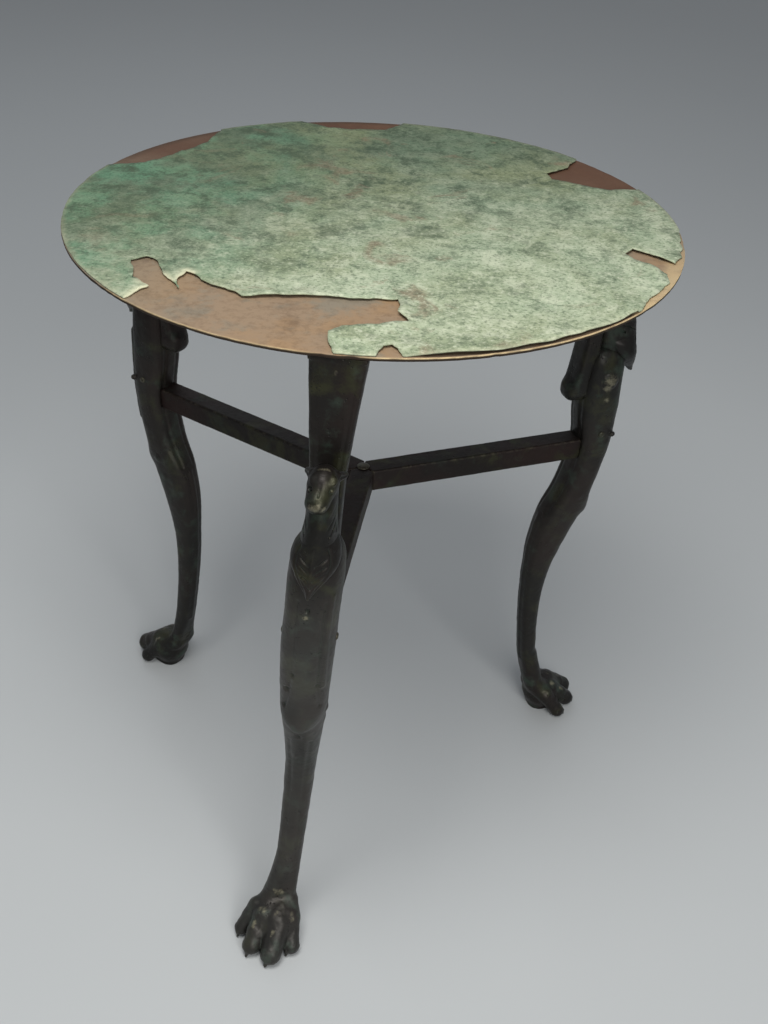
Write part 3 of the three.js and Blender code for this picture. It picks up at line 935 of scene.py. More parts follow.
# How far a part reaches into the one that it meets, and how far and how much an end is tucked in
LAP = 1.0
TUCK = 4.0
TUCK_SHARE = 0.1
ANKLE_HEIGHT = 48.0
ANKLE_REACH = 231.5
LEG_POWER = 2.8
LEG_SECTIONS = np.array(
    [
        # height, reach, depth, width
        (0, 252, 33, 30),
        (14, 247, 28, 30),
        (34, 236, 17, 23),
        (69, 225.5, 16.5, 22),
        (106, 220.5, 18, 22.6),
        (156, 217, 20.2, 24.8),
        (194, 218.5, 25.6, 26),
        (231, 224.5, 35, 31),
        (266, 235, 40.5, 35),
        (297, 246.5, 33.5, 38.2),
        (344, 256.5, 32.5, 41),
        (381, 256, 40, 40.8),
        (420, 255.5, 39.5, 41),
        (438, 256, 37, 38),
        (448, 256, 28, 28),
        (452, 256, 11, 12),
    ],
    float,
)


@dataclass(frozen=True)
class LegPlace:
    """Where one leg stands and how it leans, in millimetres and degrees.

    Attributes:
        name: the leg's name.
        azimuth: the way it looks from the table's axis.
        inset: how far it stands further in.
        lean: how its casting leans sideways.
        bracket_lean: how its bracket leans sideways.
        paw_turn: how its foot is turned about the ankle.
        seed: the seed of its own wear.
        dusty: how strong the painted light on its lower part is.
        studs: centres and sizes of the small studs on its thigh.
        crusts: centres and radii of the pale crusts on its thigh.
    """

    name: str
    azimuth: float
    inset: float
    lean: float
    bracket_lean: float
    paw_turn: float
    seed: int
    dusty: float = 0.0
    studs: tuple[tuple[Point, Point], ...] = ()
    crusts: tuple[Spot, ...] = ()

    def to_table(self, points: np.ndarray, lean: float) -> np.ndarray:
        """Takes points of the leg's own frame to the table.

        Args:
            points: reach, side and height of each point, in millimetres.
            lean: the sideways lean, in degrees.

        Returns:
            The points in metres.
        """
        reach = points[:, 0] - self.inset
        side = points[:, 1] + math.tan(math.radians(lean)) * (JOINT_HEIGHT - points[:, 2])
        cos, sin = math.cos(math.radians(self.azimuth)), math.sin(math.radians(self.azimuth))
        x = AXIS[0] + reach * cos - side * sin
        y = AXIS[1] + reach * sin + side * cos
        return np.stack([x, y, points[:, 2]], axis=1) * MM

    def node(self, part: str) -> str:
        """Names one of the leg's solids."""
        return f"{self.name}_{part}"


# The front leg carries the most painted light on its lower part
LEGS = (
    LegPlace(
        "front",
        azimuth=-89.65,
        inset=0.0,
        lean=-4.0,
        bracket_lean=-3.2,
        paw_turn=-7.0,
        seed=11,
        dusty=0.42,
        studs=(((273.8, -2.0, 390.5), (2.6, 4.2, 3.0)), ((272, -2, 382), (2, 5, 6))),
        crusts=(((276, -2.0, 391), 2.4),),
    ),
    LegPlace(
        "right",
        azimuth=29.3,
        inset=22.0,
        lean=1.3,
        bracket_lean=1.3,
        paw_turn=0.0,
        seed=12,
        dusty=0.1,
        studs=(((268, -20, 361), (3.2, 3, 2.6)), ((256, -20, 420), (8, 2.6, 9))),
        crusts=(((256, -21, 421), 7.5), ((254, -21, 413), 5.5), ((255, -21, 400), 3.5)),
    ),
    LegPlace(
        "left",
        azimuth=154.0,
        inset=0.0,
        lean=1.4,
        bracket_lean=1.4,
        paw_turn=-2.0,
        seed=13,
        dusty=0.1,
        studs=(((268, 20, 361), (3.2, 3, 2.6)),),
    ),
)


CURVE_STEPS = 24


def smooth_curve(heights: np.ndarray, values: np.ndarray) -> tuple[np.ndarray, np.ndarray]:
    """Runs a centripetal spline through values at rising heights.

    Args:
        heights: the heights.
        values: the values there.

    Returns:
        Many heights along the spline, and its values there.
    """
    knots = np.stack([heights, values], axis=1)
    knots = np.vstack([2 * knots[0] - knots[1], knots, 2 * knots[-1] - knots[-2]])
    share = np.linspace(0, 1, CURVE_STEPS + 1)[:-1, None]
    spans = []
    for p0, p1, p2, p3 in zip(knots, knots[1:], knots[2:], knots[3:]):
        d0, d1, d2 = (np.sqrt(np.linalg.norm(b - a)) for a, b in ((p0, p1), (p1, p2), (p2, p3)))
        t1 = ((p1 - p0) / d0 - (p2 - p0) / (d0 + d1) + (p2 - p1) / d1) * d1
        t2 = ((p2 - p1) / d1 - (p3 - p1) / (d1 + d2) + (p3 - p2) / d2) * d1
        bend = (-3 * p1 + 3 * p2 - 2 * t1 - t2) * share**2 + (2 * p1 - 2 * p2 + t1 + t2) * share**3
        spans.append(p1 + t1 * share + bend)
    line = np.vstack([*spans, knots[-2:-1]])
    return line[:, 0], line[:, 1]


def leg_column(inset: float = 0.0) -> Column:
    """The leg's smooth body, from the floor to its top.

    Args:
        inset: how far it stands further in.

    Returns:
        The column.
    """
    heights = LEG_SECTIONS[:, 0]
    level = np.linspace(heights[0], heights[-1], 400)
    sizes = [np.interp(level, *smooth_curve(heights, LEG_SECTIONS[:, i])) for i in (1, 2, 3)]
    return Column(level, sizes[0] - inset, sizes[1] / 2, sizes[2] / 2, LEG_POWER)


LEG = leg_column()


def on_leg(height: float, side: float, proud: float = 0.0, inner: bool = False) -> Point:
    """Finds a place on the leg's outer or inner skin.

    Args:
        height: its height.
        side: how far it lies sideways.
        proud: how far it stands off the skin.
        inner: whether it lies on the side towards the table's axis.

    Returns:
        The place in the leg's frame.
    """
    sizes = (LEG.reach_out, LEG.half_depth, LEG.half_width)
    middle, depth, width = (np.interp(height, LEG.height, size) for size in sizes)
    share = min(abs(side) / width, 0.999)
    out = depth * (1 - share**LEG_POWER) ** (1 / LEG_POWER) + proud
    return (middle - out if inner else middle + out, side, height)


def trail(
    clay: Clay,
    marks: Sequence[Sequence[float]],
    radius: float,
    proud: float,
    soft: float,
    carve: bool = False,
    inner: bool = False,
) -> None:
    """Runs a raised or carved line over the leg's skin.

    Args:
        clay: the clay.
        marks: the height and side of each turn of the line.
        radius: the line's radius.
        proud: how far its middle stands off the skin.
        soft: the size of its fillet.
        carve: whether it is carved, not raised.
        inner: whether it lies on the side towards the table's axis.
    """
    steps = []
    for (h0, s0), (h1, s1) in zip(marks, marks[1:]):
        pieces = max(1, round(abs(h1 - h0) / 6))
        steps += [(h0 + (h1 - h0) * i / pieces, s0 + (s1 - s0) * i / pieces) for i in range(pieces)]
    steps.append(tuple(marks[-1]))
    bead = Bead(tuple(on_leg(h, s, proud, inner) for h, s in steps), radius)
    (clay.cut if carve else clay.add)(bead, soft)


def worn(
    points: np.ndarray, faces: np.ndarray, seed: int, swell: float, rough: float
) -> np.ndarray:
    """Gives a skin the unevenness of old cast metal.

    Args:
        points: the mesh's points, in millimetres.
        faces: its faces.
        seed: the seed of the wear.
        swell: the height of the broad waves.
        rough: the height of the fine ones.

    Returns:
        The moved points.
    """
    grain = Grain(seed)
    rise = grain.at(points, 17.0, 2) * swell + grain.at(points, 4.0, 2) * rough
    return points + outward(points, faces) * rise[:, None]


# The legs

# Painted light on the legs, below the top's shade: it starts at a line, is full a fade's height
# below it, and thins towards the floor
LIGHT_LINE = 440.0
LIGHT_FADE = 60.0
FLOOR_LIGHT = 0.78
FLOOR_LIGHT_HEIGHT = 80.0
# Painted highlights (glints) on the wrist, the knuckles, the muzzle and the crown: centre and
# radius
WRIST_GLINTS = (((241.5, -6.0, 47.8), 3.2), ((242.0, -1.6, 47.0), 4.2))
KNUCKLE_GLINTS = (
    ((255.5, -12.8, 34), 3.4),
    ((256, -9.8, 34.5), 3.4),
    ((257, 1.5, 36), 2.6),
    ((252, 14.5, 34), 2.4),
    ((255, 16.3, 32), 3.2),
    ((266, -15, 28), 2.8),
    ((268.5, -15.6, 26.5), 2.6),
    ((271, 4, 29), 2.2),
    ((273.8, 3.6, 27.8), 2.2),
)
MUZZLE_GLINTS = (((286, -5, 494.5), 3.4), ((287.5, -1, 495), 3.6), ((286.5, 3, 493.5), 3.2))
CROWN_GLINTS = tuple(((268, 1.8 * i - 4.6, 515.0 - 0.12 * abs(i - 2)), 1.5) for i in range(5))
# Pits of the casting: height, side and radius
KNEE_PITS = (
    (397, -1, 2.2),
    (328, -8.5, 2.4),
    (309, -12.5, 2.6),
    (243, -1, 2.2),
    (318, 12, 2.2),
    (334, 5, 1.3),
)
WRIST = Rod((ANKLE_REACH - 3, -2.5, 78), (ANKLE_REACH + 3, -9, 38), 6.0, 9.5)


@dataclass
class LegPart:
    """One part of a leg, modelled once and set on all three.

    Attributes:
        finish: its material.
        step: the clay grid's spacing.
        swell: the height of its broad waves of wear.
        rough: the height of its fine ones.
        touched: centres and radii of the painted highlights (glints).
        part: what the frame calls the solid, after the leg's name.
        title: what the piece is called, after the leg's name.
    """

    finish: bpy.types.Material
    step: float = 1.0
    swell: float = 0.3
    rough: float = 0.12
    touched: list[Spot] = field(default_factory=list)

    part: ClassVar[str]
    title: ClassVar[str]

    def model(self) -> Clay:
        """Models the part in clay, in the leg's frame."""
        raise NotImplementedError

    def lean_of(self, place: LegPlace) -> float:
        """Gives the lean that the part follows."""
        return place.lean

    def turned(self, points: np.ndarray, place: LegPlace) -> np.ndarray:
        """Gives the points as this leg has them, before its lean."""
        return points

    def mark_out(self, clay: Clay, place: LegPlace) -> None:
        """Adds what only this leg has."""

    def build(self) -> list[bpy.types.Object]:
        """Models the part and sets it on each leg.

        Returns:
            The three pieces, one for each leg.
        """
        shared = self.model()
        pieces = []
        for place in LEGS:
            clay = shared.copy()
            self.mark_out(clay, place)
            points, faces = clay.skin()
            own = worn(points, faces, place.seed, self.swell, self.rough)
            own = place.to_table(self.turned(own, place), self.lean_of(place))
            own[:, 2] = np.maximum(own[:, 2], 0.0)
            piece = put_mesh(f"{place.name}_{self.title}", own, faces)
            # Marks for the material: painted highlights (glints) with the pale crusts, and painted
            # light on the lower leg
            paint(piece, "rubbed", self._rubbed(points, place))
            paint(piece, "dust", place.dusty * self._dust(points[:, 2]))
            pieces.append(dress(piece, self.finish, Slot.BRONZE, place.node(self.part)))
        return pieces

    @staticmethod
    def _dust(height: np.ndarray) -> np.ndarray:
        """Gives the share of the leg's painted light at each height."""
        below = ramp(height, LIGHT_LINE, LIGHT_LINE - LIGHT_FADE)
        return below * np.clip(height / FLOOR_LIGHT_HEIGHT, FLOOR_LIGHT, 1)

    def _rubbed(self, points: np.ndarray, place: LegPlace) -> np.ndarray:
        """Gives how strongly each point is marked with painted highlights (glints) and pale crusts.

        Args:
            points: the points, on the leg's own axes.
            place: which leg it is.

        Returns:
            A number from 0 to 1 for each point.
        """
        total = np.zeros(len(points))
        for centre, radius in (*self.touched, *place.crusts):
            gap = np.linalg.norm(points - np.array(centre), axis=1) / radius
            total = np.maximum(total, np.exp(-(gap**2)))
        return total


def tucked(points: np.ndarray, height: float, way: float) -> np.ndarray:
    """Draws a part's end in about the ankle, so that it passes inside the part it meets.

    Args:
        points: the part's points in the leg's frame.
        height: the height of the joint.
        way: -1 where the end is the lower one, 1 where it is the upper one.

    Returns:
        The moved points.
    """
    share = np.clip(way * (points[:, 2] - height) / TUCK, 0, 1) * TUCK_SHARE
    middle = np.array([ANKLE_REACH, -1.5])
    moved = points.copy()
    moved[:, :2] -= (points[:, :2] - middle) * share[:, None]
    return moved


@dataclass
class LegCasting(LegPart):
    """Thigh, knee and shin in one casting, with its muscles and old repairs."""

    part = "leg_casting"
    title = "thigh_and_shin"

    def model(self) -> Clay:
        """Models the casting in clay.

        Returns:
            The clay.
        """
        low, high = LEG.reach()
        start = (low[0] - 4, low[1] - 6, ANKLE_HEIGHT - TUCK)
        clay = Clay.block(start, (high[0] + 4, high[1] + 6, high[2]), self.step)
        clay.add(LEG)
        clay.add(WRIST, 7.0)
        self._muscles(clay)
        self._scars(clay)
        clay.keep(Side((0, 0, ANKLE_HEIGHT - TUCK), (0, 0, -1)))
        # Painted highlight on the wrist
        self.touched += WRIST_GLINTS
        return clay

    def mark_out(self, clay: Clay, place: LegPlace) -> None:
        """Adds the studs of this leg's thigh."""
        for centre, size in place.studs:
            clay.add(Egg(centre, size), 0.8)

    def turned(self, points: np.ndarray, place: LegPlace) -> np.ndarray:
        """Tucks the casting's lower end into the foot."""
        return tucked(points, ANKLE_HEIGHT, -1.0)

    def _muscles(self, clay: Clay) -> None:
        """Models the kneecap, the tendons and the ridges of the thigh.

        Args:
            clay: the clay that is worked.
        """
        clay.add(Egg(on_leg(284, 0, -9.2), (9.4, 13, 25), tilt=-20), 9.0)
        # Grooves down both sides of the thigh's front, and a ridge beside one
        carved = [(404, -9.5), (352, -8.5), (306, -10.5), (288, -14)]
        trail(clay, carved, 1.7, 0.9, 1.6, carve=True)
        carved = [(404, 12.5), (360, 12), (316, 12.5), (292, 15)]
        trail(clay, carved, 1.7, 0.9, 1.4, carve=True)
        trail(clay, [(410, 15), (360, 14.6), (318, 15.2)], 2.4, -1.4, 1.6)
        # Tendons of the shin and hollows of the thigh's inner side
        for side in (-1, 1):
            tendon = [(236, 9 * side), (180, 6.5 * side), (96, 5.6 * side)]
            trail(clay, tendon, 1.3, 0.8, 1.6, carve=True)
            hollow = [(400, 8 * side), (330, 9 * side), (270, 8 * side)]
            trail(clay, hollow, 1.8, 1.0, 2.4, carve=True, inner=True)
        trail(clay, [(262, 0), (214, 0), (150, 0), (74, 0)], 2.4, -1.5, 2.2, inner=True)

    def _scars(self, clay: Clay) -> None:
        """Models the lumps and pits on the knee's sides.

        Args:
            clay: the clay that is worked.
        """
        clay.add(Egg((241.5, 16.2, 276.5), (4.5, 3.2, 4.6)), 1.6)
        clay.add(Egg((234, 14.6, 257.5), (4, 3.0, 5.2)), 1.8)
        clay.add(Egg((245, -17.2, 292), (4.2, 2.4, 4.6)), 1.8)
        for height, side, size in KNEE_PITS:
            x, y, z = on_leg(height, side, 0.4)
            clay.cut(Egg((x, y, z), (size, size, size * 1.4)), 0.8)


@dataclass(frozen=True)
class Toe:
    """One toe of the paw, in millimetres.

    Attributes:
        side: how far sideways its tip lies.
        length: how far the tip lies before the ankle.
        radius: the radius at the knuckle.
        spread: how far sideways the knuckle lies, as a share of the tip's.
    """

    side: float
    length: float
    radius: float
    spread: float


@dataclass
class LionPaw(LegPart):
    """The foot: a lion's paw with four toes, their claws, and a dewclaw."""

    part = "paw"
    title = "lion_paw"
    step: float = 0.75
    swell: float = 0.25
    rough: float = 0.22
    toes: tuple[Toe, ...] = (
        Toe(side=-28.0, length=22.5, radius=9.2, spread=0.71),
        Toe(side=-13.0, length=39.0, radius=10.8, spread=0.8),
        Toe(side=6.6, length=43.0, radius=12.2, spread=0.8),
        Toe(side=20.4, length=28.5, radius=9.8, spread=0.64),
    )

    def model(self) -> Clay:
        """Models the paw in clay, with its middle over the ankle.

        Returns:
            The clay.
        """
        top = ANKLE_HEIGHT + LAP
        clay = Clay.block((ANKLE_REACH - 16, -36, 0), (ANKLE_REACH + 66, 34, top), self.step)
        clay.add(LEG)
        clay.add(WRIST, 7.0)
        clay.add(Egg((ANKLE_REACH + 18, 0, 19), (20, 21, 19)), 3.0)
        clay.add(Egg((ANKLE_REACH + 9, -11, 33), (9, 9, 9)), 4.0)
        for toe in self.toes:
            self._toe(clay, toe)
        # Painted highlights on the wrist and the knuckles
        self.touched += [*WRIST_GLINTS, *KNUCKLE_GLINTS]
        self._dewclaw(clay)
        clay.keep(Side((0, 0, 0), (0, 0, -1)))
        clay.keep(Side((0, 0, top), (0, 0, 1)))
        return clay

    def _toe(self, clay: Clay, toe: Toe) -> None:
        """Models one toe on a block of its own, and joins it to the paw's clay.

        Args:
            clay: the paw's clay.
            toe: the toe's sizes.
        """
        side, radius = toe.side, toe.radius
        tip = radius * 0.84
        root = (ANKLE_REACH + 5, side * 0.36, 32)
        knuckle = (ANKLE_REACH + toe.length * 0.6, side * toe.spread, 25.5)
        joint = (ANKLE_REACH + toe.length * 0.88, side * (0.3 + 0.7 * toe.spread) * 1.06, 17)
        end = (ANKLE_REACH + toe.length + tip * 0.5, side, tip)
        own = clay.blank()
        own.add(Rod(root, knuckle, radius * 0.78, radius * 0.88))
        own.add(Rod(knuckle, joint, radius * 0.88, radius * 0.84), 1.5)
        own.add(Rod(joint, end, radius * 0.8, tip * 0.94), 1.5)
        # The knuckle and the joint stand up as soft knobs
        own.add(Egg((knuckle[0] + 1, knuckle[1], knuckle[2] + 4.4), (6.0, 5.8, 5.4)), 1.2)
        own.add(Egg((joint[0] + 1.5, joint[1], joint[2] + 3.8), (5.2, 4.8, 4.6)), 1.0)
        # The claw comes out of its sheath, and creases run down from behind it
        claw = (end[0] + tip * 0.68, side - 1.6, tip * 0.95)
        own.add(Rod((end[0], side - 1, tip * 1.4), claw, 3.4, 2.7), 1.4)
        own.add(Rod(claw, (claw[0] + 2.0, side - 1.8, 2.6), 2.5, 1.2), 0.8)
        crease = (joint[0] + 5.5, side, tip * 1.95)
        for way in (-1, 1):
            reach = (crease[0] - 1.5, side + way * tip * 0.95, crease[2] - 6)
            own.cut(Rod(crease, reach, 0.9, 0.9), 0.7)
        clay.join(own, 3.4)

    def _dewclaw(self, clay: Clay) -> None:
        """Models the dewclaw at the foot's own side."""
        start = (ANKLE_REACH + 7, -14, 30)
        clay.add(Egg(start, (6.5, 5.5, 6.5)), 2.0)
        clay.add(Rod(start, (start[0] + 8, start[1] - 6.5, 22), 4.0, 2.6), 1.5)

    def turned(self, points: np.ndarray, place: LegPlace) -> np.ndarray:
        """Turns the foot about the ankle, less and less towards the ankle's joint.

        Args:
            points: the points, on the leg's own axes.
            place: which leg it is.

        Returns:
            The points in their new places.
        """
        share = np.clip((ANKLE_HEIGHT - points[:, 2]) / 14, 0, 1)
        angle = np.radians(place.paw_turn) * share * share * (3 - 2 * share)
        out, side = points[:, 0] - ANKLE_REACH, points[:, 1]
        turned = points.copy()
        turned[:, 0] = ANKLE_REACH + out * np.cos(angle) - side * np.sin(angle)
        turned[:, 1] = out * np.sin(angle) + side * np.cos(angle)
        return tucked(turned, ANKLE_HEIGHT - LAP, 1.0)


def level_column(rows: Sequence[Sequence[float]], power: float, smooth: bool = False) -> Column:
    """Makes a column of rows that give height, reach, depth and width.

    Args:
        rows: the rows.
        power: how square its sections are.
        smooth: whether a smooth line runs through the rows, instead of a straight one.

    Returns:
        The column.
    """
    height, *sizes = np.array(sorted(rows), float).T
    if smooth:
        level = np.linspace(height[0], height[-1], 80)
        sizes = [np.interp(level, *smooth_curve(height, size)) for size in sizes]
        height = level
    reach, depth, width = sizes
    return Column(height, reach, depth / 2, width / 2, power)


# The neck's and the bracket's rows: height, reach, depth, width
NECK = level_column(
    [
        (440, 266, 39.6, 30),
        (456, 266, 40.3, 27),
        (472, 265, 37.8, 22),
        (486, 263.5, 32.4, 20),
        (500, 261, 22.3, 18.4),
    ],
    2.2,
)
BRACKET = level_column(
    [
        (404, 234, 23.5, 24),
        (411, 234.6, 22.8, 25),
        (429, 236.4, 19.2, 26),
        (456, 238, 16, 26),
        (494, 238, 16, 26),
        (572.7, 238, 16, 38.84),
        (586.7, 236, 20, 41.1),
    ],
    5.0,
)
LOBE = Slab((232.8, 0, 406), (14, 11.5, 10.8), 9.0)
SKULL = Egg((266, -1, 503.5), (14, 11, 11.5))
MUZZLE = Rod((270, -1.2, 502), (279, -2, 495), 10.2, 8.8)


@dataclass
class Bracket(LegPart):
    """The upright that carries the top, with its lobe below and its flange above."""

    part = "bracket"
    title = "upright"
    swell: float = 0.22
    rough: float = 0.08

    def lean_of(self, place: LegPlace) -> float:
        """Gives the lean that the bracket follows."""
        return place.bracket_lean

    def model(self) -> Clay:
        """Models the bracket in clay.

        Returns:
            The clay.
        """
        clay = Clay.block((195, -24, 392), (249, 24, 589), self.step)
        clay.add(BRACKET)
        clay.add(LOBE, 4.0)
        clay.add(Slab((221, 0, 586.7), (25, 20.5, 2), 0.9), 1.0)
        for side in (-1, 1):
            clay.cut(Rod((246.9, side * 9, 394), (246.9, side * 9, 494), 1.7, 1.7), 0.8)
            clay.cut(Rod((246.9, side * 9, 494), (246.9, side * 14.5, 580), 1.7, 1.7), 0.8)
        clay.cut(Rod((236, -14, 458), (236, 14, 458), 0.8, 0.8), 0.6)
        clay.cut(LEG.grown(-LAP))
        clay.cut(Side((0, 0, 588.7), (0, 0, -1)))
        return clay


@dataclass
class HoundHead(LegPart):
    """The slim animal head and neck before the bracket."""

    part = "hound_head"
    title = "head_and_neck"
    step: float = 0.7
    swell: float = 0.18
    rough: float = 0.12

    def model(self) -> Clay:
        """Models the head in clay.

        Returns:
            The clay.
        """
        clay = Clay.block((240, -22, 440), (294, 22, 518), self.step)
        clay.add(NECK)
        clay.add(SKULL, 3.0)
        clay.add(MUZZLE, 1.6)
        # Painted highlights on the muzzle and the crown
        self.touched += [*MUZZLE_GLINTS, *CROWN_GLINTS]
        self._face(clay)
        for side in (-1, 1):
            self._ear(clay, side)
            self._hair(clay, side)
        clay.cut(LEG.grown(-LAP))
        clay.cut(BRACKET.grown(-LAP))
        return clay

    def _hair(self, clay: Clay, side: int) -> None:
        """Carves the locks of the neck on that side."""
        for height in (462, 469, 476, 483):
            start, end = (262, side * 12.5, height + 7), (279, side * 8, height - 3)
            clay.cut(Rod(start, end, 0.9, 0.7), 0.8)

    def _face(self, clay: Clay) -> None:
        """Models the brows, eyes, nose, lips and jaw.

        Args:
            clay: the clay that is worked.
        """
        for side in (-1, 1):
            clay.add(Egg((272.5, side * 6.2, 509), (4.4, 3.4, 2.2), tilt=30), 1.4)
            clay.cut(Egg((277.5, side * 7.4, 503.4), (2.6, 2.4, 2.2)), 0.8)
            clay.add(Egg((275.9, side * 6.7, 503.2), (2.2, 1.8, 1.6)), 0.5)
            lip = ((272, side * 9.8, 492), (280, side * 8.2, 489), (286, side * 3, 488))
            clay.cut(Bead(lip, 0.8), 0.7)
            clay.cut(Egg((287.4, side * 2.6, 493.8), (1.1, 1.0, 0.9)), 0.4)
        clay.add(Egg((284.6, -1, 495), (3.6, 5, 3.4)), 1.4)
        clay.cut(Rod((279, -1, 509.5), (284, -1, 501.5), 0.7, 0.5), 0.9)

    def _ear(self, clay: Clay, side: int) -> None:
        """Models one ear, laid back, on that side."""
        root, tip = (262.5, side * 8 - 1, 506.5), (255.5, side * 13 - 1, 504.5)
        clay.add(Rod(root, tip, 4.4, 2.5), 1.4)
        clay.cut(Rod((264, side * 12 - 1, 507), (257.5, side * 15 - 1, 505), 1.5, 0.8), 0.7)


@dataclass
class CalyxLeaf(LegPart):
    """The pointed leaf that hangs from the neck over the thigh, with a rib and a raised rim.

    Attributes:
        outer: how far from the axis its outer skin lies.
        low: the height of its tip.
        high: the height of its root.
        depth: its greatest depth.
        width: its greatest width.
        power: how square its sections are.
        rows: its sections, from the tip up.
    """

    part = "calyx_leaf"
    title = "hanging_leaf"
    step: float = 0.7
    swell: float = 0.18
    rough: float = 0.12
    outer: float = 288.5
    low: float = 418.5
    high: float = 464.0
    depth: float = 34.0
    width: float = 36.0
    power: float = 2.2
    rows: tuple[tuple[float, float, float, float], ...] = (
        # share of the height, setback, depth and width
        (0, -1, 0.09, 0.08),
        (0.14, -0.6, 0.26, 0.32),
        (0.34, 0.2, 0.56, 0.72),
        (0.56, 1.4, 0.84, 1),
        (0.76, 3, 0.95, 0.94),
        (0.9, 3, 1, 0.72),
        (1, 4, 0.7, 0.46),
    )

    def model(self) -> Clay:
        """Models the leaf in clay.

        Returns:
            The clay.
        """
        rows = []
        for up, setback, deep, wide in self.rows:
            depth = self.depth * deep
            height = self.low + (self.high - self.low) * up
            rows.append((height, self.outer - setback - depth / 2, depth, self.width * wide))
        column = level_column(rows, self.power, smooth=True)
        clay = Clay.block((244, -21, 412), (292, 21, 466), self.step)
        clay.add(column)
        self._carving(clay, column)
        clay.cut(LEG.grown(-LAP))
        clay.cut(BRACKET.grown(-LAP))
        return clay

    def _carving(self, clay: Clay, column: Column) -> None:
        """Carves the rim's groove and the veins, and raises the middle rib.

        Args:
            clay: the clay that is worked.
            column: the leaf's smooth body.
        """
        sizes = (column.reach_out, column.half_depth, column.half_width)

        def place(height: float, share: float, proud: float) -> Point:
            """Finds a place on the leaf's outer skin, at a share of its half width."""
            middle, depth, width = (np.interp(height, column.height, size) for size in sizes)
            out = depth * (1 - abs(share) ** self.power) ** (1 / self.power)
            return (middle + out + proud, width * share, height)

        heights = np.linspace(422, 458, 8)
        clay.add(Bead(tuple(place(height, 0, -0.6) for height in heights), 1.5), 0.9)
        for side in (-0.72, 0.72):
            clay.cut(Bead(tuple(place(height, side, 0.3) for height in heights), 1.0), 0.6)
        for height in (427, 433, 439, 445):
            for side in (-1, 1):
                start, end = place(height, side * 0.12, 0.3), place(height + 7, side * 0.6, 0.3)
                clay.cut(Rod(start, end, 0.7, 0.6), 0.6)
        clay.add(Rod((284.4, 0, 426), (289.8, 0, 418.6), 3.5, 0.8), 2.0)


# The stretcher


@dataclass
class StretcherArms:
    """Three square bars that meet on the axis, mitred there and seated on the thighs.

    Attributes:
        finish: their material.
        half: half their thickness.
        rounding: how worn their edges are.
        start: where a bar's block starts, behind the axis, before it is mitred.
        reach: how far from the axis the middle of the thigh is.
        step: the clay grid's spacing.
        swell: the height of their broad waves of wear.
        rough: the height of their fine ones.
    """

    finish: bpy.types.Material
    half: float = 10.5
    rounding: float = 1.3
    start: float = -40.0
    reach: float = 256.5
    step: float = 1.0
    swell: float = 0.16
    rough: float = 0.07

    def build(self) -> list[bpy.types.Object]:
        """Builds the three bars.

        Returns:
            The pieces.
        """
        pieces = []
        for index, place in enumerate(LEGS):
            following = LEGS[(index + 1) % len(LEGS)].azimuth
            before = LEGS[index - 1].azimuth
            left, right = (following - place.azimuth) % 360 / 2, (place.azimuth - before) % 360 / 2
            points, faces = self._bar(place, left, right).skin()
            points = worn(points, faces, place.seed + 20, self.swell, self.rough)
            points[:, 0] += place.inset
            piece = put_mesh(f"{place.name}_bar", place.to_table(points, 0.0), faces)
            pieces.append(dress(piece, self.finish, Slot.BRONZE, place.node("stretcher_arm")))
        return pieces

    def _bar(self, place: LegPlace, left: float, right: float) -> Clay:
        """Models one bar.

        Args:
            place: its leg.
            left: the half angle to the next bar, in degrees.
            right: the half angle to the bar before.

        Returns:
            The bar's clay, along the way to its leg.
        """
        far = self.reach - place.inset
        low = (0, -self.half, JOINT_HEIGHT - self.half)
        clay = Clay.block(low, (far, self.half, JOINT_HEIGHT + self.half), self.step)
        centre = ((far + self.start) / 2, 0, JOINT_HEIGHT)
        clay.add(Slab(centre, ((far - self.start) / 2, self.half, self.half), self.rounding))
        for angle, side in ((left, 1), (right, -1)):
            turn = math.radians(angle)
            clay.keep(Side((FIT_GAP, 0, 0), (-math.sin(turn), side * math.cos(turn), 0)), 0.6)
        clay.cut(leg_column(place.inset).grown(-LAP))
        return clay


# Pins and rivets

UP = Vector((0, 0, 1))
DOME_STEPS = 5
# The radius of a dome's flat tip, as a share of the dome's own
DOME_TIP = 0.06


@dataclass(frozen=True)
class Turned:
    """A small turned piece that stands along one way, from the solid that it stands for.

    Attributes:
        name: the piece's name.
        node: the solid.
        way: the way that it stands along.
        outline: shares of its length, and radii in millimetres there.
        finish: its material.
        seed: the seed of its wear.
        sides: how many sides its rings have.
        rough: the height of its wear.
    """

    name: str
    node: str
    way: Vector
    outline: Outline
    finish: bpy.types.Material
    seed: int
    sides: int = 28
    rough: float = 0.12

    def build(self) -> bpy.types.Object:
        """Builds the piece.

        Returns:
            The piece.
        """
        places = [v.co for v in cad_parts[self.node].data.vertices]
        low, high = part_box(self.node)
        middle = (low + high) / 2
        along = [(place - middle).dot(self.way) for place in places]
        start, length = min(along), max(along) - min(along)
        across = self.way.orthogonal().normalized()
        other = self.way.cross(across)
        rings = []
        for share, radius in self.outline:
            centre = middle + self.way * (start + length * share)
            for side in range(self.sides):
                angle = 2 * math.pi * side / self.sides
                turn = across * math.cos(angle) + other * math.sin(angle)
                rings.append(centre + turn * radius * MM)
        points = np.array([tuple(point) for point in rings])
        rise = Grain(self.seed).at(points / MM, 2.5, 2) * self.rough * MM
        spokes = points - points.reshape(-1, self.sides, 3).mean(1).repeat(self.sides, 0)
        spokes /= np.maximum(np.linalg.norm(spokes, axis=1, keepdims=True), 1.0e-9)
        faces = []
        for level in range(len(self.outline) - 1):
            for side in range(self.sides):
                one, two = level * self.sides + side, level * self.sides + (side + 1) % self.sides
                faces.append((one, two, two + self.sides, one + self.sides))
        faces.append(tuple(range(self.sides))[::-1])
        faces.append(tuple(range(len(points) - self.sides, len(points))))
        piece = put_mesh(self.name, points + spokes * rise[:, None], faces)
        return dress(piece, self.finish, Slot.BRONZE, self.node)


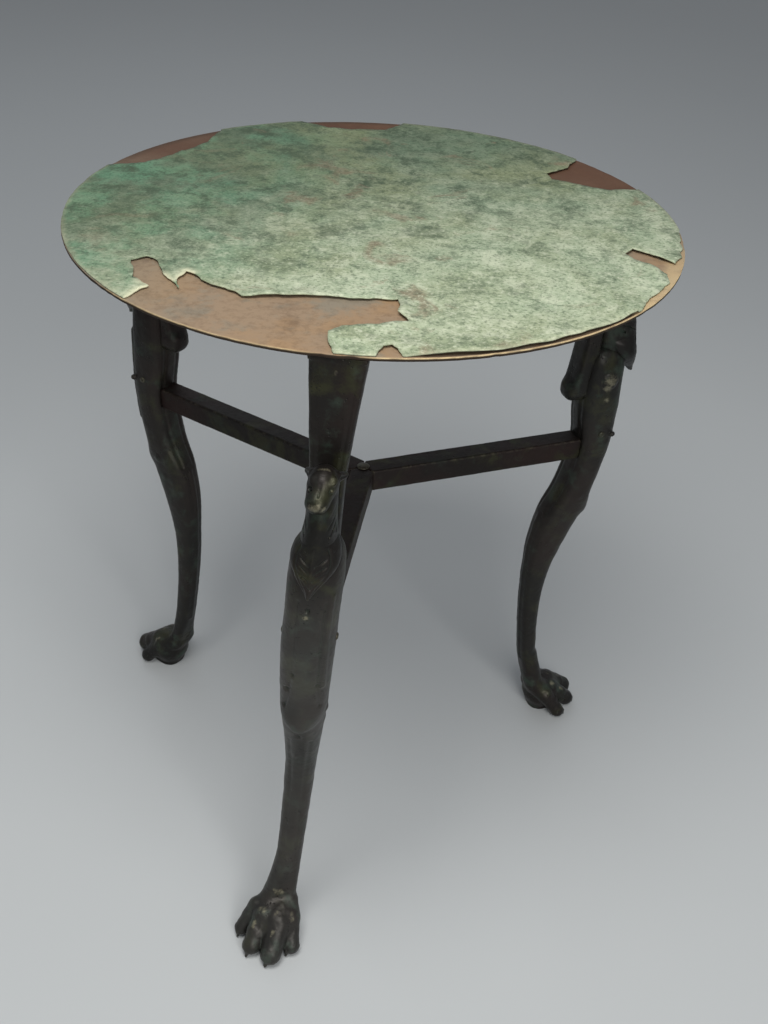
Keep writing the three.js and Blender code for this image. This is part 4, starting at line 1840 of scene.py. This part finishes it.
def dome(edge: float, radius: float, height: float, length: float) -> Outline:
    """Gives the outline of a domed end.

    Args:
        edge: where the dome starts, from 0 to the piece's length.
        radius: its radius there.
        height: how high it rises, negative for the end at the start.
        length: the piece's length.

    Returns:
        Shares of the length and radii, from the start of the piece to its end.
    """
    least = radius * DOME_TIP
    rings = []
    for step in range(DOME_STEPS + 1):
        angle = math.pi / 2 * step / DOME_STEPS
        share = (edge + height * math.sin(angle)) / length
        rings.append((share, max(radius * math.cos(angle), least)))
    return tuple(rings if height > 0 else reversed(rings))


@dataclass
class Fasteners:
    """The cross pins, the flange rivets and the hub rivet, in millimetres.

    Attributes:
        finish: their material.
        pin_length: the length of a cross pin.
        pin_radius: its radius.
        rivet_length: the length of a flange rivet.
        rivet_head: the radius of its head.
        rivet_shank: the radius of its shank.
        hub_length: the length of the hub rivet.
        hub_head: the radius of its heads.
        hub_shank: the radius of its shank.
        head_height: how thick its heads are.
        dome_height: how high the ends of the pins and of the hub rivet rise.
        seed: the seed of the hub rivet's wear.
    """

    finish: bpy.types.Material
    pin_length: float = 44.0
    pin_radius: float = 3.1
    rivet_length: float = 10.0
    rivet_head: float = 4.0
    rivet_shank: float = 2.0
    hub_length: float = 25.6
    hub_head: float = 6.0
    hub_shank: float = 3.0
    head_height: float = 2.0
    dome_height: float = 1.4
    seed: int = 40

    def build(self) -> list[bpy.types.Object]:
        """Builds them all.

        Returns:
            The pieces.
        """
        pieces = []
        pin, rivet, hub = self._pin(), self._rivet(), self._hub()
        for place in LEGS:
            turn = math.radians(place.azimuth)
            side = Vector((-math.sin(turn), math.cos(turn), 0))
            name, node = f"{place.name}_pin", place.node("cross_pin")
            pieces.append(Turned(name, node, side, pin, self.finish, place.seed).build())
            for number in (1, 2):
                name, node = f"{place.name}_rivet_{number}", place.node(f"flange_rivet_{number}")
                seed = place.seed + number
                pieces.append(Turned(name, node, UP, rivet, self.finish, seed).build())
        pieces.append(Turned("hub_pin", "hub_rivet", UP, hub, self.finish, self.seed).build())
        return pieces

    def _pin(self) -> Outline:
        """Gives the outline of a cross pin, with a dome at both ends."""
        rise, length, radius = self.dome_height, self.pin_length, self.pin_radius
        return (*dome(rise, radius, -rise, length), *dome(length - rise, radius, rise, length))

    def _rivet(self) -> Outline:
        """Gives the outline of a flange rivet, whose head is below the flange."""
        edge, shank = self.rivet_head, self.rivet_shank
        head = dome(0.9, edge, -0.9, self.rivet_length)
        return (*head, (0.2, edge - 0.1), (0.22, shank + 0.05), (0.8, shank))

    def _hub(self) -> Outline:
        """Gives the outline of the hub rivet, with a head at both ends.

        Returns:
            The outline.
        """
        rise, length, edge = self.dome_height, self.hub_length, self.hub_head - 0.2
        low, high = self.head_height, length - self.head_height
        return (
            *dome(rise, self.hub_head, -rise, length),
            (low / length, edge),
            ((low + 0.1) / length, self.hub_shank),
            ((high - 0.1) / length, self.hub_shank),
            (high / length, edge),
            *dome(length - rise, self.hub_head, rise, length),
        )


# The top

SHEET_LOSSES = (
    # azimuth about the axis, in degrees, and depth from the rim
    (
        (-125.5, 0), (-126.5, 24), (-131.5, 24), (-136, 33), (-139, 37), (-139, 50), (-136, 54),
        (-131, 46), (-126.5, 43), (-122, 38), (-125, 47), (-128, 61), (-124, 62), (-119, 58),
        (-115, 61), (-110, 57), (-104, 71), (-93, 83), (-82, 87), (-75, 87), (-75.5, 65), (-74, 50),
        (-80, 43), (-87, 37), (-89, 28), (-88.5, 14), (-87, 0),
    ),
    ((-80.5, 0), (-79.5, 13), (-78, 15), (-77, 10), (-76.5, 0)),
    (
        (-31.5, 0), (-29, 3), (-25.5, 6), (-21, 4.4), (-17, 3.6), (-14, 8), (-12, 23), (-10, 38),
        (-8, 45), (-4.3, 41), (-5.6, 28), (-7, 16), (-8.2, 6), (-5.5, 3.4), (-1, 2.6), (5, 1.8),
        (10, 0),
    ),
    ((31, 0), (30.5, 30), (38, 51), (43, 63), (47, 56), (47.5, 28), (51, 0)),
    ((93, 0), (97, 28), (105, 34), (111, 29), (116, 0)),
    ((135, 0), (143, 27), (151, 33), (160, 31), (165, 20), (168, 0)),
)


@dataclass
class TornSheet:
    """The thin patinated sheet: torn, partly lost, and lifting along its tears.

    Attributes:
        finish: its material.
        radius: its radius.
        bottom: the height of its underside.
        thickness: its thickness.
        spacing: the distance between the mesh's points inside.
        edge_step: the distance between those along the edge.
        ragged: how uneven its torn edges are.
        curl_width: how far in its tears lift it.
        open_width: how far in the open part of the rim lifts it.
        seed: the first of the seeds of its wear.
        flap: the arc with the small bent flaps, whose lips carry the strongest painted highlight.
        worn_rim: the arc where the rim is worn back.
        open_rim: the arc where the rim stands off the board.
    """

    finish: bpy.types.Material
    radius: float = 249.6
    bottom: float = 592.7
    thickness: float = 1.2
    spacing: float = 4.2
    edge_step: float = 1.4
    ragged: float = 1.3
    curl_width: float = 8.0
    open_width: float = 12.0
    seed: int = 31
    flap: Arc = (-131, -129, -125.5, -124.5)
    worn_rim: Arc = (-78, -72, -36, -30)
    open_rim: Arc = (-76, -68, -34, -22)

    def build(self) -> list[bpy.types.Object]:
        """Builds the sheet.

        Returns:
            The piece, in a list.
        """
        outline, torn = self._outline()
        inner = self._inner(outline)
        flat = np.vstack([outline, inner])
        count = len(outline)
        loop = [(i, (i + 1) % count) for i in range(count)]
        places = [Vector(p) for p in flat.tolist()]
        made = geometry.delaunay_2d_cdt(places, loop, [], 0, 1.0e-5, False)
        flat = np.array([tuple(p) for p in made[0]])
        triangles = np.array([f for f in made[2] if len(f) == 3])
        triangles = triangles[self._within(flat[triangles].mean(1), outline)]
        distance, nearest = self._to_edge(flat, outline)
        lip = self._lip(flat, distance, torn[nearest])
        rise = self._rise(flat, distance, torn[nearest], outline[nearest])
        low = np.column_stack([flat, self.bottom + rise])
        high = np.column_stack([flat, self.bottom + rise + self._thickness_at(flat, distance)])
        points = np.vstack([high, low])
        points[:, :2] += np.array(AXIS[:2])
        shift = len(flat)
        faces = [tuple(t) for t in triangles.tolist()]
        faces += [tuple(i + shift for i in reversed(t)) for t in triangles.tolist()]
        directed = {(t[i], t[(i + 1) % 3]) for t in triangles.tolist() for i in range(3)}
        faces += [(a, a + shift, b + shift, b) for a, b in directed if (b, a) not in directed]
        piece = put_mesh("torn_sheet", points * MM, faces)
        paint(piece, "lip", np.concatenate([lip, lip]))
        return [dress(piece, self.finish, Slot.SHEET, "top_sheet")]

    def _lip(self, flat: np.ndarray, distance: np.ndarray, torn: np.ndarray) -> np.ndarray:
        """Gives how pale each point is: a painted highlight, strongest on the flaps' lips, and a
        faint pale line along the rim.
        """
        flap = np.maximum(span(azimuth_of(flat), self.flap), 0.07)
        tear = flap * np.exp(-distance / (1.2 + 2.2 * flap))
        return np.where(torn, tear, 0.3 * np.exp(-distance / 1.2))

    def _outline(self) -> tuple[np.ndarray, np.ndarray]:
        """Draws the sheet's edge about the axis.

        Returns:
            Its points, anticlockwise, and whether each lies on a tear.
        """
        turns = {}
        for loss in SHEET_LOSSES:
            first, last = loss[0][0], loss[-1][0]
            for step, (azimuth, depth) in enumerate(loss):
                key = first + (last - first) * step / (len(loss) - 1)
                turns[key] = (azimuth, depth, True)
        covered = [(loss[0][0], loss[-1][0]) for loss in SHEET_LOSSES]
        for azimuth in np.arange(-180, 180, 1.0):
            if not any(low - 0.4 < azimuth < high + 0.4 for low, high in covered):
                turns[azimuth] = (azimuth, 0.0, False)
        corners = [turns[key] for key in sorted(turns)]
        angle = np.radians([c[0] for c in corners])
        out = self.radius - np.array([c[1] for c in corners])
        marks = np.array([c[2] for c in corners])
        knots = np.column_stack([out * np.cos(angle), out * np.sin(angle)])
        points, torn = [], []
        for index, (knot, following) in enumerate(zip(knots, np.roll(knots, -1, 0))):
            pieces = max(1, round(np.linalg.norm(following - knot) / self.edge_step))
            share = np.arange(pieces)[:, None] / pieces
            points.append(knot + (following - knot) * share)
            both = marks[index] and marks[(index + 1) % len(marks)]
            torn += [both] * pieces
        edge, torn = np.vstack(points), np.array(torn)
        return self._frayed(edge, torn), torn

    def _frayed(self, edge: np.ndarray, torn: np.ndarray) -> np.ndarray:
        """Makes the edge uneven: much on the tears, a little on the rim.

        Args:
            edge: the edge's points.
            torn: whether each lies on a tear.

        Returns:
            The points in their new places.
        """
        along = np.roll(edge, -1, 0) - np.roll(edge, 1, 0)
        along /= np.linalg.norm(along, axis=1, keepdims=True)
        across = np.column_stack([along[:, 1], -along[:, 0]])
        place = np.column_stack([edge, np.zeros(len(edge))])
        grain = Grain(self.seed)
        wave = grain.at(place, 9.0, 3) * np.where(torn, self.ragged, 0.45)
        worn_rim = span(azimuth_of(edge), self.worn_rim)
        setback = worn_rim * (1.3 + 1.6 * grain.at(place, 24.0, 3)) * ~torn
        moved = edge + across * wave[:, None]
        out = np.linalg.norm(moved, axis=1, keepdims=True)
        return moved * np.minimum(1.0, (self.radius - np.maximum(setback, 0)[:, None]) / out)

    def _inner(self, outline: np.ndarray) -> np.ndarray:
        """Scatters points evenly inside the edge.

        Args:
            outline: the edge's points.

        Returns:
            The scattered points.
        """
        steps = np.arange(-self.radius, self.radius, self.spacing)
        grid = np.array(list(itertools.product(steps, steps)))
        jitter = np.random.default_rng(self.seed + 1).uniform(-0.3, 0.3, grid.shape)
        grid = grid + jitter * self.spacing
        grid = grid[np.linalg.norm(grid, axis=1) < self.radius - 1.5]
        grid = grid[self._within(grid, outline)]
        distance, _ = self._to_edge(grid, outline)
        return grid[distance > 1.6]

    @staticmethod
    def _within(points: np.ndarray, outline: np.ndarray) -> np.ndarray:
        """Tells which points lie inside a closed outline.

        Args:
            points: the points to test.
            outline: the outline's points, in order.

        Returns:
            True for each point inside.
        """
        inside = np.zeros(len(points), bool)
        for (x0, y0), (x1, y1) in zip(outline, np.roll(outline, -1, 0)):
            if y0 == y1:
                continue
            crosses = (y0 > points[:, 1]) != (y1 > points[:, 1])
            left = points[:, 0] < (x1 - x0) * (points[:, 1] - y0) / (y1 - y0) + x0
            inside ^= crosses & left
        return inside

    @staticmethod
    def _to_edge(points: np.ndarray, outline: np.ndarray) -> tuple[np.ndarray, np.ndarray]:
        """Gives each point's distance to the outline's points, and the nearest one's number.

        Args:
            points: the points to measure from.
            outline: the outline's points.

        Returns:
            The distances, and the numbers.
        """
        distance, nearest = np.empty(len(points)), np.empty(len(points), int)
        for start in range(0, len(points), 2000):
            part = points[start : start + 2000]
            gaps = np.linalg.norm(part[:, None] - outline[None], axis=2)
            nearest[start : start + 2000] = gaps.argmin(1)
            distance[start : start + 2000] = gaps.min(1)
        return distance, nearest

    def _rise(
        self, flat: np.ndarray, distance: np.ndarray, torn: np.ndarray, edge: np.ndarray
    ) -> np.ndarray:
        """Gives how far each point of the underside lies off the board.

        Args:
            flat: the points, seen from above.
            distance: how far each lies from the edge.
            torn: whether a tear is the nearest edge.
            edge: the nearest point of the edge.

        Returns:
            A height for each point.
        """
        place = np.column_stack([flat, np.zeros(len(flat))])
        grain = Grain(self.seed + 2)
        waves = 0.7 + 0.7 * grain.at(place, 70.0, 2) + 0.22 * grain.at(place, 16.0, 2)
        low = np.clip((self.radius - np.linalg.norm(flat, axis=1)) / 20, 0.15, 1)
        lift = 1.1 + 0.9 * grain.at(np.column_stack([edge, np.zeros(len(edge))]), 30.0, 2)
        near = np.exp(-((distance / self.curl_width) ** 2))
        curl = np.where(torn, np.clip(lift, 0.4, 2.4) * near, 0.0)
        open_rim = span(azimuth_of(edge), self.open_rim) * ~torn
        near = np.exp(-((distance / self.open_width) ** 2))
        gap = open_rim * (1.5 + 0.6 * grain.at(place, 26.0, 2)) * near
        return np.maximum(waves, 0.0) * low + curl * low + np.maximum(gap, 0.0)

    def _thickness_at(self, flat: np.ndarray, distance: np.ndarray) -> np.ndarray:
        """Gives the sheet's thickness, thinner at its edge and lumpy with crust."""
        place = np.column_stack([flat, np.ones(len(flat))])
        lumps = 0.14 * Grain(self.seed + 3).at(place, 6.0, 2)
        return self.thickness * (1 - 0.3 * np.exp(-distance / 2.0)) + lumps


@dataclass
class BackingDisc:
    """The thin board under the sheet, with a worn rim.

    Attributes:
        finish: its material.
        radius: its radius.
        bottom: the height of its underside.
        top: the height of its upper face.
        sides: how many steps go round it.
        seed: the seed of its wear.
        rubbed: the arc where its edge is rubbed bare.
        half_rubbed: the arc where its edge is half rubbed.
        covered: the arc of painted shade under the sheet's lifted rim.
        half_covered: the arc with half as much of that darkening.
        bared: the arc where a strip of its face is worn too.
    """

    finish: bpy.types.Material
    radius: float = 250.0
    bottom: float = 589.0
    top: float = 592.4
    sides: int = 360
    seed: int = 41
    rubbed: Arc = (-84, -79, -6, 20)
    half_rubbed: Arc = (-134, -128, -94, -89)
    covered: Arc = (-76, -73, -33, -30)
    half_covered: Arc = (92, 96, 160, 168)
    bared: Arc = (-33, -30, -16, 8)

    def build(self) -> list[bpy.types.Object]:
        """Builds the board.

        Returns:
            The piece, in a list.
        """
        rows = self._section()
        angle = np.linspace(0, 2 * math.pi, self.sides, endpoint=False)
        way = np.column_stack([np.cos(angle), np.sin(angle), np.zeros(self.sides)])
        flat = np.vstack([way * radius + (0, 0, height) for radius, height, _ in rows])
        edge_mark = np.repeat([mark for _, _, mark in rows], self.sides)
        out = np.linalg.norm(flat[:, :2], axis=1)
        self._wear(flat, out)
        lip, grime = self._marks(flat, out, edge_mark)
        flat[:, :2] += np.array(AXIS[:2])
        faces = []
        for level in range(len(rows) - 1):
            for side in range(self.sides):
                one, two = level * self.sides + side, level * self.sides + (side + 1) % self.sides
                faces.append((one, one + self.sides, two + self.sides, two))
        faces.append(tuple(range(self.sides)))
        faces.append(tuple(range(len(flat) - self.sides, len(flat)))[::-1])
        piece = put_mesh("backing_board", flat * MM, faces)
        paint(piece, "lip", lip)
        # Painted shade under the sheet's lifted rim
        paint(piece, "grime", grime)
        return [dress(piece, self.finish, Slot.BOARD, "backing_disc")]

    def _section(self) -> list[tuple[float, float, float]]:
        """Draws half the board's section, from the middle of the top round the edge.

        Returns:
            The radius and height of each place, and how bare it is.
        """
        edge, top, bottom = self.radius, self.top, self.bottom
        inner = [edge * share for share in np.linspace(0.02, 0.985, 40)]
        return [
            *((radius, top, 0.0) for radius in inner),
            (edge - 2.6, top, 0.0),
            (edge - 1.2, top, 0.0),
            (edge - 0.4, top - 0.2, 0.25),
            (edge, top - 0.5, 1.0),
            (edge, top - 0.9, 0.8),
            (edge, top - 1.35, 0.0),
            (edge, bottom + 0.9, 0.0),
            (edge - 0.5, bottom + 0.3, 0.0),
            (edge - 1.8, bottom, 0.0),
            *((radius, bottom, 0.0) for radius in reversed(inner)),
        ]

    def _wear(self, flat: np.ndarray, out: np.ndarray) -> None:
        """Chips the rim and dents the upper face.

        Args:
            flat: the points about the axis, which it moves.
            out: their distances from the axis.
        """
        grain = Grain(self.seed)
        chip = ramp(grain.at(flat, 13.0, 3), 0.35, 1.35) * 1.6 + 0.2 * (grain.at(flat, 3.0) + 1)
        flat[:, :2] *= 1 - (chip * (out > self.radius - 1.0) / out)[:, None]
        dent = 0.12 * ramp(grain.at(flat, 22.0, 3), -0.4, 0.6)
        flat[:, 2] -= np.where(flat[:, 2] > self.top - 0.01, dent, 0)

    def _marks(
        self, flat: np.ndarray, out: np.ndarray, edge_mark: np.ndarray
    ) -> tuple[np.ndarray, np.ndarray]:
        """Gives how bare each point is, and how much painted shade lies on it.

        Args:
            flat: the points about the axis.
            out: their distances from the axis, before the wear.
            edge_mark: how bare each place of the section is.

        Returns:
            The shares of bare edge and of painted shade.
        """
        turn, edge = azimuth_of(flat), self.radius
        rubbed = np.clip(span(turn, self.rubbed) + 0.6 * span(turn, self.half_rubbed), 0, 1)
        # Painted shade under the sheet's lifted rim, and half as much on the back arc
        covered = span(turn, self.covered) + 0.5 * span(turn, self.half_covered)
        far_out = ramp(out, edge - 9, edge - 4) * ramp(out, edge - 0.6, edge - 1.2)
        strip = ramp(out, edge - 12, edge - 9.5) * (flat[:, 2] > self.top - 0.5)
        bared = span(turn, self.bared) * strip
        lip = np.maximum(edge_mark * (0.04 + 0.96 * rubbed), bared * 0.55)
        return lip, covered * far_out * (flat[:, 2] > self.top - 0.2) * 0.85


# The studio


@dataclass(frozen=True)
class Lamp:
    """One soft square lamp.

    Attributes:
        name: its name.
        place: where it hangs, in metres.
        target: what it looks at.
        size: its side.
        power: its power in watts.
        colour: its colour.
    """

    name: str
    place: Point
    target: Point
    size: float
    power: float
    colour: Colour

    def hang(self) -> None:
        """Hangs the lamp."""
        light = bpy.data.lights.new(self.name, "AREA")
        light.size = self.size
        light.energy = self.power
        light.color = self.colour
        lamp = bpy.data.objects.new(self.name, light)
        lamp.location = self.place
        way = Vector(self.target) - Vector(self.place)
        lamp.rotation_euler = way.to_track_quat("-Z", "Y").to_euler()
        bpy.context.scene.collection.objects.link(lamp)


LAMPS = (
    Lamp("over_lamp", (-0.05, -0.62, 1.75), (0, -0.15, 0.4), 0.8, 16.0, (1.0, 0.98, 0.95)),
    Lamp("front_lamp", (1.0, -1.9, 1.5), (0, 0, 0.35), 1.1, 24.0, (1.0, 0.98, 0.96)),
    Lamp("back_lamp", (-0.8, 1.9, 2.2), (0, 0, 0.4), 1.6, 6.0, (0.92, 0.96, 1.0)),
)


@dataclass
class Studio:
    """A pale floor, soft lamps and the camera, in metres.

    Attributes:
        floor_colour: the floor's colour.
        floor_patch: the colour that it has in faint patches.
        floor_half: half the floor's side.
        sky: the colour of the world's light.
        ambient: how strongly it lights the table.
        backdrop: how pale it looks behind it.
        lens: the camera's focal length, in millimetres.
        eye: the camera's place from the table's axis.
        look: the way that it looks.
        roll: how far it is tipped, in degrees.
    """

    floor_colour: Colour = linear(202, 206, 207)
    floor_patch: Colour = linear(192, 197, 200)
    floor_half: float = 9.0
    sky: Colour = (0.92, 0.95, 1.0)
    ambient: float = 0.22
    backdrop: float = 0.34
    lens: float = 45.7
    eye: Point = (0.1464, -1.0036, 0.9822)
    look: Point = (-0.1025, 0.8250, -0.5559)
    roll: float = 3.46

    def build(self) -> None:
        """Builds the floor, the light and the camera."""
        self._floor()
        self._world()
        for lamp in LAMPS:
            lamp.hang()
        self._camera()

    def _floor(self) -> None:
        """Lays the floor."""
        corners = np.array([(-1, -1, 0), (1, -1, 0), (1, 1, 0), (-1, 1, 0)]) * self.floor_half
        floor = put_mesh("pale_floor", corners, [(0, 1, 2, 3)])
        bench = Bench.of("pale_floor")
        tint = bench.blend(bench.noise(1.6, 3.0) * 0.3, self.floor_colour, self.floor_patch)
        finish = bench.finish(Base_Color=tint, Roughness=0.6, Specular_IOR_Level=0.2)
        floor.data.materials.append(finish)

    def _world(self) -> None:
        """Lights the room evenly and gives it a pale backdrop."""
        world = bpy.data.worlds.new("studio")
        bpy.context.scene.world = world
        bench = Bench(world)
        paths = bench.add("ShaderNodeLightPath", {}, {}).outputs
        rays = ("Is Camera Ray", "Is Glossy Ray", "Is Transmission Ray")
        camera, glossy, clear = (Tone(bench, paths[name]) for name in rays)
        lights = []
        for strength in (self.ambient, self.backdrop):
            inputs = {"Color": self.sky, "Strength": strength}
            lights.append(bench.add("ShaderNodeBackground", {}, inputs).outputs[0])
        seen = camera.most(glossy).most(clear)
        mix = bench.add("ShaderNodeMixShader", {}, {0: seen, 1: lights[0], 2: lights[1]})
        bench.add("ShaderNodeOutputWorld", {}, {"Surface": mix.outputs[0]})

    def _camera(self) -> None:
        """Sets the camera at the photograph's angle."""
        data = bpy.data.cameras.new("camera")
        data.lens = self.lens
        data.sensor_width = 36.0
        camera = bpy.data.objects.new("camera", data)
        look = Vector(self.look).normalized()
        right = look.cross(UP).normalized()
        up = right.cross(look)
        roll = math.radians(self.roll)
        tilted_right = right * math.cos(roll) + up * math.sin(roll)
        tilted_up = up * math.cos(roll) - right * math.sin(roll)
        turn = Matrix((tilted_right, tilted_up, -look)).transposed()
        place = Vector((AXIS[0] * MM + self.eye[0], AXIS[1] * MM + self.eye[1], self.eye[2]))
        camera.matrix_world = Matrix.Translation(place) @ turn.to_4x4()
        bpy.context.scene.collection.objects.link(camera)
        bpy.context.scene.camera = camera


class Maker(Protocol):
    """A sub-assembly of the table."""

    def build(self) -> list[bpy.types.Object]:
        """Builds its pieces."""


def main() -> None:
    """Builds the studio and the table's pieces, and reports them."""
    logging.basicConfig(level=logging.INFO, format="%(message)s")
    bpy.context.scene.view_settings.view_transform = "Standard"
    Studio().build()
    bronze = DarkBronze("dark_bronze").build()
    paw_bronze = DarkBronze("paw_bronze", green_share=0.7, bump_height=0.0014).build()
    bar_bronze = DarkBronze(
        "bar_bronze",
        metal=linear(32, 28, 26),
        brown=linear(44, 31, 28),
        green_share=0.25,
        bump_height=0.0006,
        dull=0.44,
    ).build()
    pin_bronze = DarkBronze(
        "pin_bronze", metal=linear(62, 60, 52), brown=linear(74, 70, 58)
    ).build()
    makers: tuple[Maker, ...] = (
        BackingDisc(PaintedBoard("painted_board").build()),
        TornSheet(GreenPatina("patinated_sheet").build()),
        LegCasting(bronze),
        LionPaw(paw_bronze),
        Bracket(bronze),
        HoundHead(bronze),
        CalyxLeaf(bronze),
        StretcherArms(bar_bronze),
        Fasteners(pin_bronze),
    )
    for maker in makers:
        for piece in maker.build():
            LOG.info("%s: %d points", piece.name, len(piece.data.vertices))


if __name__ == "__main__":
    main()
